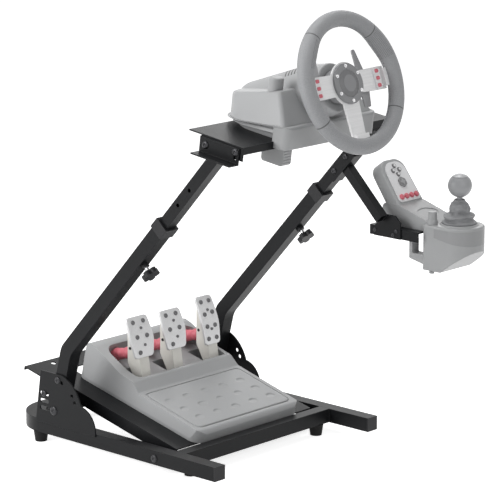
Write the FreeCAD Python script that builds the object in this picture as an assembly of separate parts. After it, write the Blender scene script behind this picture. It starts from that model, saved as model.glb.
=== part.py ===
import FreeCAD, Part
import math
import os

# A folding steel stand for driving games, with a wheel base and steering wheel on its top plate,
# a three-pedal unit on its sloping tray and a gear shifter on a side arm.
# Working axes, in millimetres: x to the driver's right, y away from the driver, z up.
# y is counted from the front ends of the floor rails, and z from the floor.

V = FreeCAD.Vector
X_AXIS = V(1, 0, 0)
Y_AXIS = V(0, 1, 0)
Z_AXIS = V(0, 0, 1)

# Square steel tube and sheet
TUBE = 30.0
TUBE_WALL = 1.5
RISER_TUBE = 25.0
RISER_WALL = 1.5
SHEET = 3.0
SLIDE_GAP = 0.2
FACE_GAP = 0.3
SHEET_CORNER = 3.0
PIN_GAP = 0.05

# Floor frame
BASE_WIDTH = 500.0
BASE_LENGTH = 605.0
BASE_CORNER = 90.0
FOOT_HEIGHT = 24.0
FOOT_TOP_R = 16.0
FOOT_BOTTOM_R = 12.5
FOOT_INSET = 27.0
REAR_FOOT_Y = 520.0
CROSSBAR_Y = 106.0
CROSSBAR_DEPTH = 27.0
CAP_LIP = 3.0
CAP_PLUG = 18.0

# Side gussets, with the fold pivot, its lock holes and the tray slots
PIVOT_Y = 460.5
PIVOT_Z = 80.4
PIVOT_R = 5.0
GUSSET_ARC = 86.0
GUSSET_FOOT_Y = 386.0
GUSSET_FOOT_Z = 56.0
GUSSET_FOOT_ARC = 50.0
GUSSET_REAR_TOP = 499.0
GUSSET_REAR_FOOT = 516.0
GUSSET_TOP = 162.0
GUSSET_LAP = 6.0
LOCK_RADIUS = 70.5
LOCK_HOLE_R = 4.25
LOCK_ANGLES = (11.1, 21.8, 52.5, 65.0)
SLOT_LENGTH = 27.0
SLOT_R = 4.5
SLOT_ROUND = 4.45
SLOT_PITCH = 15.6
SLOT_COUNT = 3

# Uprights: a short lower leg through the pivot and a long leaning leg
UPRIGHT_X = 234.5
BEND_Y = 425.0
BEND_Z = 216.0
BEND_R = 60.0
LEG_BELOW_PIVOT = 18.0
LEAN = 42.4
LONG_LEG = 420.0
COLLAR = 36.0
COLLAR_LENGTH = 26.0
COLLAR_LIP = 4.0
KNOB_BELOW_TOP = 112.0
KNOB_LOBES = 5
KNOB_CORE_R = 12.5
LOBE_CENTRE = 11.8
LOBE_R = 7.2
KNOB_THICK = 11.0
STUD_R = 4.0
STUD_LENGTH = 19.0
NUT_R = 8.5
NUT_THICK = 7.0

# Risers that slide in the uprights
RISER_INSIDE = 150.0
RISER_HOLE_PITCH = 46.8
RISER_HOLE_UP = 64.0
RISER_HOLE_R = 4.25

# Wheel plate and the two brackets that carry it
PLATE_SLOPE = 7.5
PLATE_Z = 712.8
PLATE_REAR = 91.0
PLATE_FRONT = -56.0
PLATE_HALF = 222.0
PLATE_THICK = 2.5
PLATE_FRONT_FLANGE = 15.0
PLATE_SIDE_FLANGE = 28.0
BRACKET_DEPTH = 38.0
BRACKET_TOP_GAP = 4.0
BRACKET_FRONT = -48.0
BRACKET_REAR = 57.0
BRACKET_FLANGE = 27.0
TILT_V = 41.0
TILT_W = -19.0
TILT_BOLT_R = 4.0
TILT_SLOT_V = -39.0
TILT_SLOT_W = -13.0
TILT_RANGE = 8.0

# Wheel base, in the plate's own axes: v towards the rear, w up from the plate
SEAT_HALF = 118.0
SEAT_FRONT = -52.0
SEAT_REAR = 100.0
PART_HALF = 138.0
PART_FRONT = -80.0
PART_REAR = 124.0
PART_W = 34.0
PART_FALL = 7.2
BAND_W = 22.0
LIP_W = 15.0
LIP_OUT = 3.0
BAND_INSET = 13.0
BAND_FRONT = -60.0
BAND_CORNER = 87.0
SEAT_CORNER = 78.0
REAR_CORNER = 96.0
SEAM_STEP = 4.0
SHOULDER_HALF = 99.0
SHOULDER_FRONT = -26.0
SHOULDER_REAR = 142.0
SHOULDER_FRONT_W = 91.0
SHOULDER_SLOPE = 15.0
SHOULDER_ROUND = 8.0
SHOULDER_EDGE = 7.2
SHOULDER_CORNER = 72.0
COLUMN_FOOT_HALF = 60.0
COLUMN_TOP_HALF = 44.0
COLUMN_FRONT = -77.0
COLUMN_TOP_W = 98.0
COLUMN_LEAN = 2.0
COLUMN_CORNER = 34.0
COLUMN_BACK_CORNER = 2.0
APRON_HALF = 136.0
APRON_FRONT = -88.0
APRON_BOTTOM = -12.0
APRON_CORNER = 16.0
APRON_LOW_ROUND = 3.0
APRON_TOP_ROUND = 5.0
VENT_COUNT = 5
VENT_FIRST = 72.0
VENT_PITCH = 8.5
VENT_LENGTH = 30.0
VENT_WIDTH = 3.2
VENT_DEPTH = 5.0
VENT_SLANT = 24.0
CLAMP_IN = 101.0
CLAMP_OUT = 125.0
CLAMP_FRONT = -76.0
CLAMP_REAR = -18.0
CLAMP_BOTTOM = -48.0
CLAMP_KNOB_X = 84.0
CLAMP_KNOB_V = -2.0
CLAMP_KNOB_R = 15.0
CLAMP_KNOB_TOP = 112.0
CLAMP_KNOB_ROUND = 4.0
CLAMP_ROUND = 7.0

# Steering wheel, in its own axes: x right, y up in the wheel's plane, z towards the driver
WHEEL_Y = -139.0
WHEEL_Z = 816.0
WHEEL_TILT = 18.6
RIM_R = 128.5
RIM_TUBE_R = 16.2
RIM_SECTIONS = 40
GRIP_SWELL = 2.4
GRIP_ANGLES = (33.0, 147.0)
GRIP_SPREAD = 17.0
HUB_BACK = 12.0
HUB_R = 41.0
HUB_THICK = 6.0
SPOKE_THICK = 5.0
SPOKE_HEIGHT = 46.0
LOWER_SPOKE = 46.0
LOWER_SPOKE_TIP = 37.0
SPOKE_FILLET = 12.0
SPOKE_WAIST = 1.5
HUB_DISH_R = 27.0
HUB_DOME_R = 17.0
HUB_FLANGE = 3.0
HUB_EDGE = 2.0
DISH_EDGE = 1.0
DISH_DEPTH = 2.0
DOME_RISE = 2.5
DOME_ROUND = 10.0
TAB_DEPTH = 10.0
TAB_HALF = 18.0
TAB_FRONT = -2.0
STRIP_IN = 80.0
STRIP_WIDTH = 17.0
STRIP_THICK = 4.0
STRIP_INSET = 1.0
BUTTONS_PER_STRIP = 3
BUTTON_PITCH = 14.5
BUTTON_HALF_WIDTH = 5.0
BUTTON_HALF_HEIGHT = 4.0
BUTTON_OUT = 2.0
BOSS_R = 34.0
BOSS_BACK = 44.0
BARREL_FRONT = 46.0
BARREL_R = 58.0
BARREL_NOSE_R = 49.0
BARREL_NOSE = 48.0
BARREL_BACK = 283.0
BARREL_BACK_ROUND = 24.0
BARREL_NOSE_ROUND = 4.0
SHAFT_R = 11.0
SHAFT_LENGTH = 28.0
PADDLE_BACK = 31.0
PADDLE_THICK = 3.0
PADDLE_PIN_X = 47.0
PADDLE_PIN_R = 2.0
PADDLE_SLEEVE_R = 4.0
PADDLE_SLEEVE = 26.0
PADDLE_LUG = 3.0
PADDLE_TOP = 66.0
PADDLE_BOTTOM = -52.0
PADDLE_NECK = 2.0
PADDLE_ROOT = 10.0
PADDLE_ROOT_UP = 6.0
PADDLE_FOOT = 27.0
PADDLE_BULGE = 36.0
PADDLE_TIP_OUT = 16.0
PADDLE_TIP_IN = 7.0
PADDLE_ROUND = 4.0
PADDLE_BULGE_ROUND = 30.0

# Pedal tray, in its own axes: s up the slope from the tray's pivots, h square to the sheet
TRAY_PIVOT_Y = 167.0
TRAY_PIVOT_Z = 37.4
TRAY_BOLT_Y = 489.0
TRAY_BOLT_Z = 112.4
TRAY_BOLT_R = 4.0
TRAY_HALF = 205.0
TRAY_DROP = 18.0
TRAY_FRONT = -17.0
TRAY_REAR = 424.0
TRAY_STRIP = 64.0
TRAY_SHEET = 2.5
TRAY_FLANGE = 26.0
TRAY_LIP = 8.0
TRAY_FRONT_BAR = 60.0
TRAY_MIDDLE_BAR = 50.0
TRAY_MIDDLE_S = 200.0
TRAY_REAR_BAR = 52.0
TRAY_REAR_HALF = 228.0
TRAY_FLANGE_END = 348.0
TRAY_HOLE_X = 159.0
TRAY_HOLE_BACK = 17.0
TRAY_HOLE_R = 6.0

# Pedal unit, on the tray: s counted from its front edge
UNIT_CENTRE_X = 4.0
UNIT_WIDTH = 316.0
UNIT_FRONT_S = -24.0
UNIT_LENGTH = 364.0
UNIT_CORNER = 26.0
REST_HEIGHT = 34.0
REST_LENGTH = 186.0
STEP_LENGTH = 23.0
DECK_HEIGHT = 50.0
DECK_LENGTH = 250.0
CREST_BACK = 26.0
CREST_LENGTH = UNIT_LENGTH - CREST_BACK
CREST_HEIGHT = 78.0
WELL_FRONT = 216.5
WELL_BACK = 34.0
WELL_REAR = UNIT_LENGTH - WELL_BACK
WELL_FLOOR = 32.0
WELL_MARGIN = 34.0
WELL_CORNER = 26.0
UNIT_DRAFT = 11.0
UNIT_EDGE = 6.0
REST_FALL = 6.0
DECK_RISE = 2.0
CREST_FALL = 2.0
STEP_ROUND = 10.0
DECK_ROUND = 60.0
CREST_ROUND = 40.0
CREST_BACK_ROUND = 14.0
PANEL_MARGIN = 15.0
PANEL_DEPTH = 1.6
PANEL_CORNER = 16.0
GRIP_ROWS = 3
GRIP_COLUMNS = 5
GRIP_PITCH_X = 54.0
GRIP_PITCH_S = 40.0
GRIP_BACK = 8.0
GRIP_LENGTH = 20.0
GRIP_BALL_R = 24.0
GRIP_RISE = 2.4
GRIP_ROOT = 0.5
GRIP_SKEW = -0.1
PEDAL_MIDDLE = 9.0
# Places of the pedals: shares of the unit's width
PEDAL_SHARES = (-0.31, 0.0, 0.35)
PEDAL_PIVOT_S = 222.0
PEDAL_PIVOT_H = 14.0
PEDAL_PIN_R = 4.0
PEDAL_EYE_R = 8.5
ARM_WIDTH = 27.0
ARM_THICK = 9.0
ARM_SHEET = 3.0
CHEEK_DEPTH = 45.0
CHEEK_RISE = 54.0
CHEEK_HIGH = 76.0
CHEEK_ROUND = 12.0
ARM_SHARE = 0.8
ARM_TIP_ROUND = 4.0
ARM_BEND_R = 30.0
SLOT_SIDE_GAP = 6.0
PIT_FRONT = 6.0
PIT_REAR = 68.0
PIT_ROOF = 7.0
PIT_FLOOR = 3.0
FACE_WIDTHS = (60.0, 60.0, 48.0)
FACE_MIDDLES = (70.0, 67.0, 53.0)
FACE_FEET = (52.0, 54.0, 45.0)
FACE_LENGTHS = (89.0, 86.0, 107.0)
FACE_BOTTOMS = (183.0, 183.0, 171.0)
FACE_THICK = 5.0
FACE_CORNER = 8.0
FACE_EDGE = 1.6
FACE_BOW_R = 215.0
FLANK_UP = 0.45
FLANK_ROUND = 0.6
FACE_LEAN = 17.5
FACE_FRONT_Y = 356.0
STUD_RISE = 1.6
STUD_ROOT = 1.0
BIG_STUD_R = 4.6
SMALL_STUD_R = 3.0
# Studs on a face: across in half widths, up in lengths, large or small
SHORT_STUDS = (
    (-0.5, 0.86, BIG_STUD_R), (0.5, 0.86, BIG_STUD_R), (0.1, 0.70, SMALL_STUD_R),
    (-0.45, 0.50, BIG_STUD_R), (0.5, 0.50, BIG_STUD_R), (0.15, 0.29, SMALL_STUD_R), (-0.4, 0.13, BIG_STUD_R))
LONG_STUDS = (
    (-0.5, 0.88, BIG_STUD_R), (0.5, 0.88, BIG_STUD_R), (0.0, 0.70, SMALL_STUD_R),
    (-0.5, 0.62, BIG_STUD_R), (0.5, 0.64, BIG_STUD_R), (-0.5, 0.37, BIG_STUD_R),
    (0.5, 0.37, BIG_STUD_R), (0.0, 0.31, SMALL_STUD_R), (-0.5, 0.12, BIG_STUD_R), (0.5, 0.12, BIG_STUD_R))
SPRING_R = 15.0
SPRING_TIP_R = 13.0
SPRING_START = 46.0
SPRING_HIGH = 67.5
SPRING_LOW = 16.5

# Shifter arm, plate and shifter: y and z are counted from the place where the arm leaves the riser
ARM_TUBE = 20.0
ARM_WALL = 1.5
ARM_X = 226.0
ARM_FALL = 45.0
ARM_LENGTH = 135.0
CLIP_THICK = 3.0
CLIP_LENGTH = 84.0
SHIFT_PLATE_TOP = -115.0
SHIFT_PLATE_DROP = 21.0
SHIFT_PLATE_REAR = -52.0
SHIFT_PLATE_FRONT = -182.0
SHIFT_PLATE_WIDTH = 88.0
GUSSET_HIGH = 28.0
GUSSET_STEP = 14.0
SHIFT_GUSSET_LENGTH = 71.0
SHIFT_GUSSET_SLOPE = 34.0
SHIFT_GUSSET_NOSE = 15.0
SHIFTER_X = 312.0
SHIFTER_BODY_REAR = -183.0
SHIFTER_BODY_FRONT = -292.0
SHIFTER_BODY_HALF = 50.0
SHIFTER_BODY_BOTTOM = -194.0
SHIFTER_DECK_Z = -98.0
SHIFTER_NOSE_R = 47.0
SHIFTER_TOE_RUN = 62.0
SHIFTER_TOE_RISE = 46.0
SHIFTER_RIM_ROUND = 5.0
SHIFTER_RIM_EDGE = 4.0
DECK_LAP = 20.0
DECK_REAR_LEAN = 2.0
DECK_REAR_ROUND = 10.0
DECK_FOOT_ROUND = 8.0
TOWER_HALF = 41.0
TOWER_TAPER = 4.0
TOWER_LEAN = 36.5
TOWER_HEIGHT = 104.0
TOWER_THICK = 32.0
TOWER_ROUND = 26.0
TOWER_EDGE = 4.0
TOWER_ROOT = 30.0
TOWER_FOOT_Y = -112.0
TOWER_FOOT_Z = -70.0
OVAL_LONG = 28.0
OVAL_SHORT = 18.0
OVAL_DEPTH = 1.2
CONSOLE_HALF = 34.0
CONSOLE_LENGTH = 96.0
CONSOLE_THICK = 2.0
CONSOLE_FOOT = 4.0
CONSOLE_CORNER = 8.0
CONSOLE_TOP_ROUND = 24.0
DIAMOND_UP = 76.0
DIAMOND_R = 10.0
DIAMOND_BUTTON_R = 4.2
PAD_UP = 47.0
PAD_R = 12.0
PAD_SIDES = 6
PAD_CORNER = 3.0
RED_UP = 15.0
RED_PITCH = 15.5
RED_COUNT = 4
RED_R = 6.0
BUTTON_RISE = 3.0
JAW_WIDTH = 22.0
JAW_DEPTH = 38.0
JAW_LIP = 8.0
JAW_LOW = -184.0
JAW_HIGH = -164.0
JAW_INSET = 4.0
SCREW_INSET = 13.0
SCREW_BACK = 16.0
SCREW_KNOB_R = 11.0
SCREW_KNOB_RISE = 27.0
SCREW_SKIRT_RISE = 8.0
SCREW_GRIP_RISE = 11.0
SCREW_GRIP_R = 9.5
SCREW_TOP_R = 9.0
SCREW_EDGE = 1.0
SCREW_TOP_ROUND = 2.5
SCREW_FLUTES = 8
SCREW_FLUTE_R = 2.2
SCREW_END_R = 5.5
SCREW_END_DROP = 8.0
LEVER_Y = -240.0
LEVER_PIVOT_Z = -116.0
LEVER_R = 6.0
LEVER_KNOB_R = 25.0
LEVER_KNOB_Z = -16.0
LEVER_CAP_RISE = 18.0
LEVER_GROOVE_R = 0.9
BOOT_R = 36.0
BOOT_TOP_R = 11.0
BOOT_TOP_Z = -45.0
BOOT_WALL = 3.0
# Folds of the boot: share of its radius, share of its height, rounding
BOOT_FOLDS = (
    (1.0, 0.08, 1.5), (0.66, 0.17, 2.5), (0.86, 0.34, 4.0), (0.52, 0.5, 3.0), (0.58, 0.66, 4.0))
RING_R = 41.0
RING_RISE = 3.0
RING_EDGE = 1.5
RING_LEDGE = 1.0
LEVER_WELL_R = 27.0
LEVER_WELL_DEPTH = 42.0
GIMBAL_R = 4.0
GIMBAL_BLOCK = 12.0
LEVER_PIN_R = 3.0
LEVER_EAR = 5.0
LEVER_BRIDGE = 6.0


def rounded_face(points):
    """A flat face in the XY plane from corners (u, v, corner radius) taken in order."""
    corners = [(V(p[0], p[1], 0), p[2] if len(p) > 2 else 0.0) for p in points]
    count = len(corners)
    stops = []
    for i in range(count):
        here, radius = corners[i]
        to_last = corners[i - 1][0] - here
        to_next = corners[(i + 1) % count][0] - here
        to_last.normalize()
        to_next.normalize()
        if radius == 0:
            stops.append((here, None, here))
            continue
        half = to_last.getAngle(to_next) / 2
        run = radius / math.tan(half)
        middle = to_last + to_next
        middle.normalize()
        top = here + middle * (radius / math.sin(half) - radius)
        stops.append((here + to_last * run, top, here + to_next * run))
    edges = []
    for i in range(count):
        start, top, end = stops[i]
        if top is not None:
            edges.append(Part.Arc(start, top, end).toShape())
        following = stops[(i + 1) % count][0]
        if end.distanceToPoint(following) > 1e-6:
            edges.append(Part.LineSegment(end, following).toShape())
    return Part.Face(Part.Wire(edges))


def offset_side(path, radius, shift):
    """The corners of a line of points moved sideways by shift, left of its way along it."""
    out = []
    for i in range(len(path)):
        here = V(path[i][0], path[i][1], 0)
        before = here - V(path[i - 1][0], path[i - 1][1], 0) if i > 0 else None
        after = V(path[i + 1][0], path[i + 1][1], 0) - here if i + 1 < len(path) else None
        first = before or after
        last = after or before
        first.normalize()
        last.normalize()
        left_first = V(-first.y, first.x, 0)
        left_last = V(-last.y, last.x, 0)
        mean = left_first + left_last
        mean.normalize()
        place = here + mean * (shift / mean.dot(left_first))
        turn = first.x * last.y - first.y * last.x
        bend = 0.0
        if abs(turn) > 1e-9:
            bend = radius - math.copysign(shift, turn)
        out.append((place.x, place.y, bend))
    return out


def band_face(path, radius, half):
    """A strip of constant width along a line of points, with round bends."""
    left = offset_side(path, radius, half)
    right = offset_side(path, radius, -half)
    return rounded_face(left + right[::-1])


def to_yz(shape):
    """Turns a shape drawn in XY and raised along Z so that it lies in YZ and is raised along X."""
    placed = shape.copy()
    placed.rotate(V(0, 0, 0), V(1, 1, 1), 120)
    return placed


def slab_yz(points, x0, x1):
    """A plate with the outline points in (y, z), from x0 to x1."""
    solid = to_yz(rounded_face(points).extrude(V(0, 0, x1 - x0)))
    solid.translate(V(x0, 0, 0))
    return solid


def slab_xy(points, z0, z1):
    """A plate with the outline points in (x, y), from z0 to z1."""
    solid = rounded_face(points).extrude(V(0, 0, z1 - z0))
    solid.translate(V(0, 0, z0))
    return solid


def block(x0, x1, y0, y1, z0, z1):
    """A rectangular block between two corners."""
    return Part.makeBox(x1 - x0, y1 - y0, z1 - z0, V(x0, y0, z0))


def rod_x(x0, x1, y, z, r):
    """A round bar along X."""
    return Part.makeCylinder(r, x1 - x0, V(x0, y, z), X_AXIS)


def rod_z(x, y, z0, z1, r):
    """A round bar along Z."""
    return Part.makeCylinder(r, z1 - z0, V(x, y, z0), Z_AXIS)


def square_tube(size, wall, z0, z1):
    """A hollow square tube along Z about the origin."""
    half = size / 2
    inner = half - wall
    return block(-half, half, -half, half, z0, z1).cut(block(-inner, inner, -inner, inner, z0 - 1, z1 + 1))


def revolved(points):
    """A solid turned about Z from corners (radius, height, corner radius) of its half profile."""
    face = rounded_face(points)
    face.rotate(V(0, 0, 0), X_AXIS, 90)
    return face.revolve(V(0, 0, 0), Z_AXIS, 360)


def joined(shapes):
    """One solid from shapes that touch or cross."""
    return shapes[0].multiFuse(shapes[1:]).removeSplitter()


def mirrored(shape):
    """The other-hand copy across the middle plane."""
    return shape.mirror(V(0, 0, 0), X_AXIS)


def turned(shape, degrees, y, z, x=0.0):
    """Turns a shape about the X axis through the origin, then moves the origin to (x, y, z)."""
    placed = shape.copy()
    placed.rotate(V(0, 0, 0), X_AXIS, degrees)
    placed.translate(V(x, y, z))
    return placed


def leaned(shape, along, x):
    """Stands a shape on the uprights' long leg: local z runs up the leg, from its top end."""
    return turned(shape, LEAN, LEG_TOP_Y - along * SIN_LEAN, LEG_TOP_Z + along * COS_LEAN, x)


def on_plate(shape):
    """Moves a shape from the wheel plate's own axes (x, v, w) to the stand."""
    return turned(shape, PLATE_SLOPE, 0, PLATE_Z)


def on_tray(shape):
    """Moves a shape from the tray's own axes (x, s, h) to the stand."""
    return turned(shape, TRAY_SLOPE, TRAY_PIVOT_Y, TRAY_PIVOT_Z)


def on_wheel(shape):
    """Moves a shape from the steering wheel's own axes to the stand."""
    return turned(shape, 90 - WHEEL_TILT, WHEEL_Y, WHEEL_Z)


# Places that follow from the driving dimensions
HALF_WIDTH = BASE_WIDTH / 2
RAIL_X = HALF_WIDTH - TUBE / 2
RAIL_TOP = FOOT_HEIGHT + TUBE
SIN_LEAN = math.sin(math.radians(LEAN))
COS_LEAN = math.cos(math.radians(LEAN))
LEG_TOP_Y = BEND_Y - LONG_LEG * SIN_LEAN
LEG_TOP_Z = BEND_Z + LONG_LEG * COS_LEAN
TRAY_SLOPE = math.degrees(math.atan2(TRAY_BOLT_Z - TRAY_PIVOT_Z, TRAY_BOLT_Y - TRAY_PIVOT_Y))
TRAY_BOLT_S = math.hypot(TRAY_BOLT_Z - TRAY_PIVOT_Z, TRAY_BOLT_Y - TRAY_PIVOT_Y)
GUSSET_IN = HALF_WIDTH
GUSSET_OUT = HALF_WIDTH + SHEET
CROSSBAR_MID = CROSSBAR_Y + CROSSBAR_DEPTH / 2
ARM_RIGHT = ARM_X + ARM_TUBE
SHIFT_PLATE_X = ARM_RIGHT + SHEET
parts = {}


# Floor frame: one bent tube, a crossbar, plastic end caps and rubber feet
rail_line = [
    (-RAIL_X, 0),
    (-RAIL_X, BASE_LENGTH - TUBE / 2),
    (RAIL_X, BASE_LENGTH - TUBE / 2),
    (RAIL_X, 0),
]
bend = BASE_CORNER - TUBE / 2
outside = band_face(rail_line, bend, TUBE / 2).extrude(V(0, 0, TUBE))
inside = band_face(rail_line, bend, TUBE / 2 - TUBE_WALL).extrude(V(0, 0, TUBE - 2 * TUBE_WALL))
inside.translate(V(0, 0, TUBE_WALL))
base_tube = outside.cut(inside)
base_tube.translate(V(0, 0, FOOT_HEIGHT))
pivot_hole = rod_x(-HALF_WIDTH - 1, HALF_WIDTH + 1, TRAY_PIVOT_Y, TRAY_PIVOT_Z, TRAY_BOLT_R + PIN_GAP)
parts["base_tube"] = base_tube.cut(pivot_hole)

crossbar_half = HALF_WIDTH - TUBE
crossbar = block(-crossbar_half, crossbar_half, CROSSBAR_Y, CROSSBAR_Y + CROSSBAR_DEPTH, FOOT_HEIGHT, RAIL_TOP)
parts["front_crossbar"] = crossbar.cut(block(
    -crossbar_half, crossbar_half, CROSSBAR_Y + TUBE_WALL, CROSSBAR_Y + CROSSBAR_DEPTH - TUBE_WALL,
    FOOT_HEIGHT + TUBE_WALL, RAIL_TOP - TUBE_WALL))

cap_plate = block(-TUBE / 2, TUBE / 2, -CAP_LIP, 0, FOOT_HEIGHT, RAIL_TOP)
plug_half = TUBE / 2 - TUBE_WALL - SLIDE_GAP
plug_low = FOOT_HEIGHT + TUBE_WALL + SLIDE_GAP
plug_high = RAIL_TOP - TUBE_WALL - SLIDE_GAP
cap = cap_plate.fuse(block(-plug_half, plug_half, 0, CAP_PLUG, plug_low, plug_high)).removeSplitter()
right_cap = cap.copy()
right_cap.translate(V(RAIL_X, 0, 0))
left_cap = cap.copy()
left_cap.translate(V(-RAIL_X, 0, 0))
parts["end_caps"] = Part.makeCompound([left_cap, right_cap])

foot = Part.makeCone(FOOT_BOTTOM_R, FOOT_TOP_R, FOOT_HEIGHT)
feet = []
for side in (-1, 1):
    for foot_x, foot_y in ((HALF_WIDTH - TUBE - FOOT_INSET, CROSSBAR_MID), (RAIL_X, REAR_FOOT_Y)):
        copy = foot.copy()
        copy.translate(V(side * foot_x, foot_y, 0))
        feet.append(copy)
parts["rubber_feet"] = Part.makeCompound(feet)

# Gussets on the outer faces of the rails
gusset_low = RAIL_TOP - GUSSET_LAP
gusset_outline = [
    (GUSSET_FOOT_Y, gusset_low),
    (GUSSET_REAR_FOOT, gusset_low),
    (GUSSET_REAR_TOP, GUSSET_TOP, SHEET_CORNER),
    (PIVOT_Y, GUSSET_TOP),
]
gusset = joined([
    slab_yz(gusset_outline, 0, SHEET),
    rod_x(0, SHEET, PIVOT_Y, PIVOT_Z, GUSSET_ARC),
    rod_x(0, SHEET, GUSSET_FOOT_Y, GUSSET_FOOT_Z, GUSSET_FOOT_ARC),
])
REACH = 1000.0
gusset = gusset.cut(block(-1, SHEET + 1, 0, REACH, -REACH, gusset_low))
gusset = gusset.cut(block(-1, SHEET + 1, 0, REACH, GUSSET_TOP, REACH))
behind = [
    (GUSSET_REAR_FOOT, gusset_low),
    (REACH, gusset_low),
    (REACH, GUSSET_TOP),
    (GUSSET_REAR_TOP, GUSSET_TOP),
]
gusset = gusset.cut(slab_yz(behind, -1, SHEET + 1))
gusset = gusset.cut(rod_x(-1, SHEET + 1, PIVOT_Y, PIVOT_Z, PIVOT_R))
for angle in LOCK_ANGLES:
    hole_y = PIVOT_Y - LOCK_RADIUS * math.sin(math.radians(angle))
    hole_z = PIVOT_Z + LOCK_RADIUS * math.cos(math.radians(angle))
    gusset = gusset.cut(rod_x(-1, SHEET + 1, hole_y, hole_z, LOCK_HOLE_R))
slot_half = SLOT_LENGTH / 2
for step in range(SLOT_COUNT):
    slot_z = TRAY_BOLT_Z - step * SLOT_PITCH
    slot = [
        (TRAY_BOLT_Y - slot_half, slot_z - SLOT_R, SLOT_ROUND),
        (TRAY_BOLT_Y + slot_half, slot_z - SLOT_R, SLOT_ROUND),
        (TRAY_BOLT_Y + slot_half, slot_z + SLOT_R, SLOT_ROUND),
        (TRAY_BOLT_Y - slot_half, slot_z + SLOT_R, SLOT_ROUND),
    ]
    gusset = gusset.cut(slab_yz(slot, -1, SHEET + 1))
right_gusset = gusset.copy()
right_gusset.translate(V(GUSSET_IN, 0, 0))
parts["right_gusset"] = right_gusset
parts["left_gusset"] = mirrored(right_gusset)

bolt_in = UPRIGHT_X - TUBE / 2 - SHEET
pivot_bolt = joined([
    rod_x(bolt_in, GUSSET_OUT, PIVOT_Y, PIVOT_Z, PIVOT_R),
    rod_x(GUSSET_OUT, GUSSET_OUT + SHEET, PIVOT_Y, PIVOT_Z, 2 * PIVOT_R),
])
parts["pivot_bolts"] = Part.makeCompound([pivot_bolt, mirrored(pivot_bolt)])

# Uprights with their guide collars and clamp knobs
leg_lean = math.atan2(PIVOT_Y - BEND_Y, BEND_Z - PIVOT_Z)
leg_foot_y = PIVOT_Y + LEG_BELOW_PIVOT * math.sin(leg_lean)
leg_foot_z = PIVOT_Z - LEG_BELOW_PIVOT * math.cos(leg_lean)
leg_line = [(leg_foot_y, leg_foot_z), (BEND_Y, BEND_Z), (LEG_TOP_Y, LEG_TOP_Z)]
leg_out = to_yz(band_face(leg_line, BEND_R, TUBE / 2).extrude(V(0, 0, TUBE)))
leg_in = to_yz(band_face(leg_line, BEND_R, TUBE / 2 - TUBE_WALL).extrude(V(0, 0, TUBE - 2 * TUBE_WALL)))
leg_in.translate(V(TUBE_WALL, 0, 0))
upright = leg_out.cut(leg_in)
upright.translate(V(UPRIGHT_X - TUBE / 2, 0, 0))
upright = upright.cut(rod_x(0, HALF_WIDTH, PIVOT_Y, PIVOT_Z, PIVOT_R + PIN_GAP))
stud_hole = Part.makeCylinder(STUD_R, TUBE, V(0, 0, 0), V(0, -1, 0))
upright = upright.cut(leaned(stud_hole, -KNOB_BELOW_TOP, UPRIGHT_X))
parts["right_upright"] = upright
parts["left_upright"] = mirrored(upright)

collar = block(-COLLAR / 2, COLLAR / 2, -COLLAR / 2, COLLAR / 2, COLLAR_LIP - COLLAR_LENGTH, COLLAR_LIP)
guide = RISER_TUBE / 2 + SLIDE_GAP
collar = collar.cut(block(-guide, guide, -guide, guide, -1, COLLAR_LIP + 1))
sleeve = TUBE / 2
collar = collar.cut(block(-sleeve, sleeve, -sleeve, sleeve, -COLLAR_LENGTH, 0))
collar = leaned(collar, 0, UPRIGHT_X)
parts["guide_collars"] = Part.makeCompound([collar, mirrored(collar)])

face_y = -TUBE / 2
nut = Part.makeCylinder(NUT_R, NUT_THICK, V(0, face_y, 0), V(0, -1, 0))
stud_start = RISER_TUBE / 2 + SLIDE_GAP
stud = Part.makeCylinder(STUD_R, STUD_LENGTH + TUBE / 2 - stud_start, V(0, -stud_start, 0), V(0, -1, 0))
knob_y = face_y - STUD_LENGTH
lobes = [Part.makeCylinder(KNOB_CORE_R, KNOB_THICK, V(0, knob_y, 0), V(0, -1, 0))]
for lobe in range(KNOB_LOBES):
    turn = 2 * math.pi * lobe / KNOB_LOBES
    centre = V(LOBE_CENTRE * math.sin(turn), knob_y, LOBE_CENTRE * math.cos(turn))
    lobes.append(Part.makeCylinder(LOBE_R, KNOB_THICK, centre, V(0, -1, 0)))
knob = joined([nut.cut(stud), stud] + lobes)
knob = leaned(knob, -KNOB_BELOW_TOP, UPRIGHT_X)
parts["height_knobs"] = Part.makeCompound([knob, mirrored(knob)])

# Risers, cut off under their brackets
bracket_in = PLATE_HALF + FACE_GAP
bracket_web = bracket_in + SHEET
bracket_out = bracket_in + BRACKET_FLANGE
riser = leaned(square_tube(RISER_TUBE, RISER_WALL, -RISER_INSIDE, REACH), 0, UPRIGHT_X)
riser = riser.cut(on_plate(block(0, REACH, -REACH, REACH, -BRACKET_DEPTH, REACH)))
for step in range(2):
    across = rod_x(-REACH, REACH, 0, 0, RISER_HOLE_R)
    riser = riser.cut(leaned(across, RISER_HOLE_UP + step * RISER_HOLE_PITCH, 0))
parts["right_riser"] = riser
parts["left_riser"] = mirrored(riser)

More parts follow.
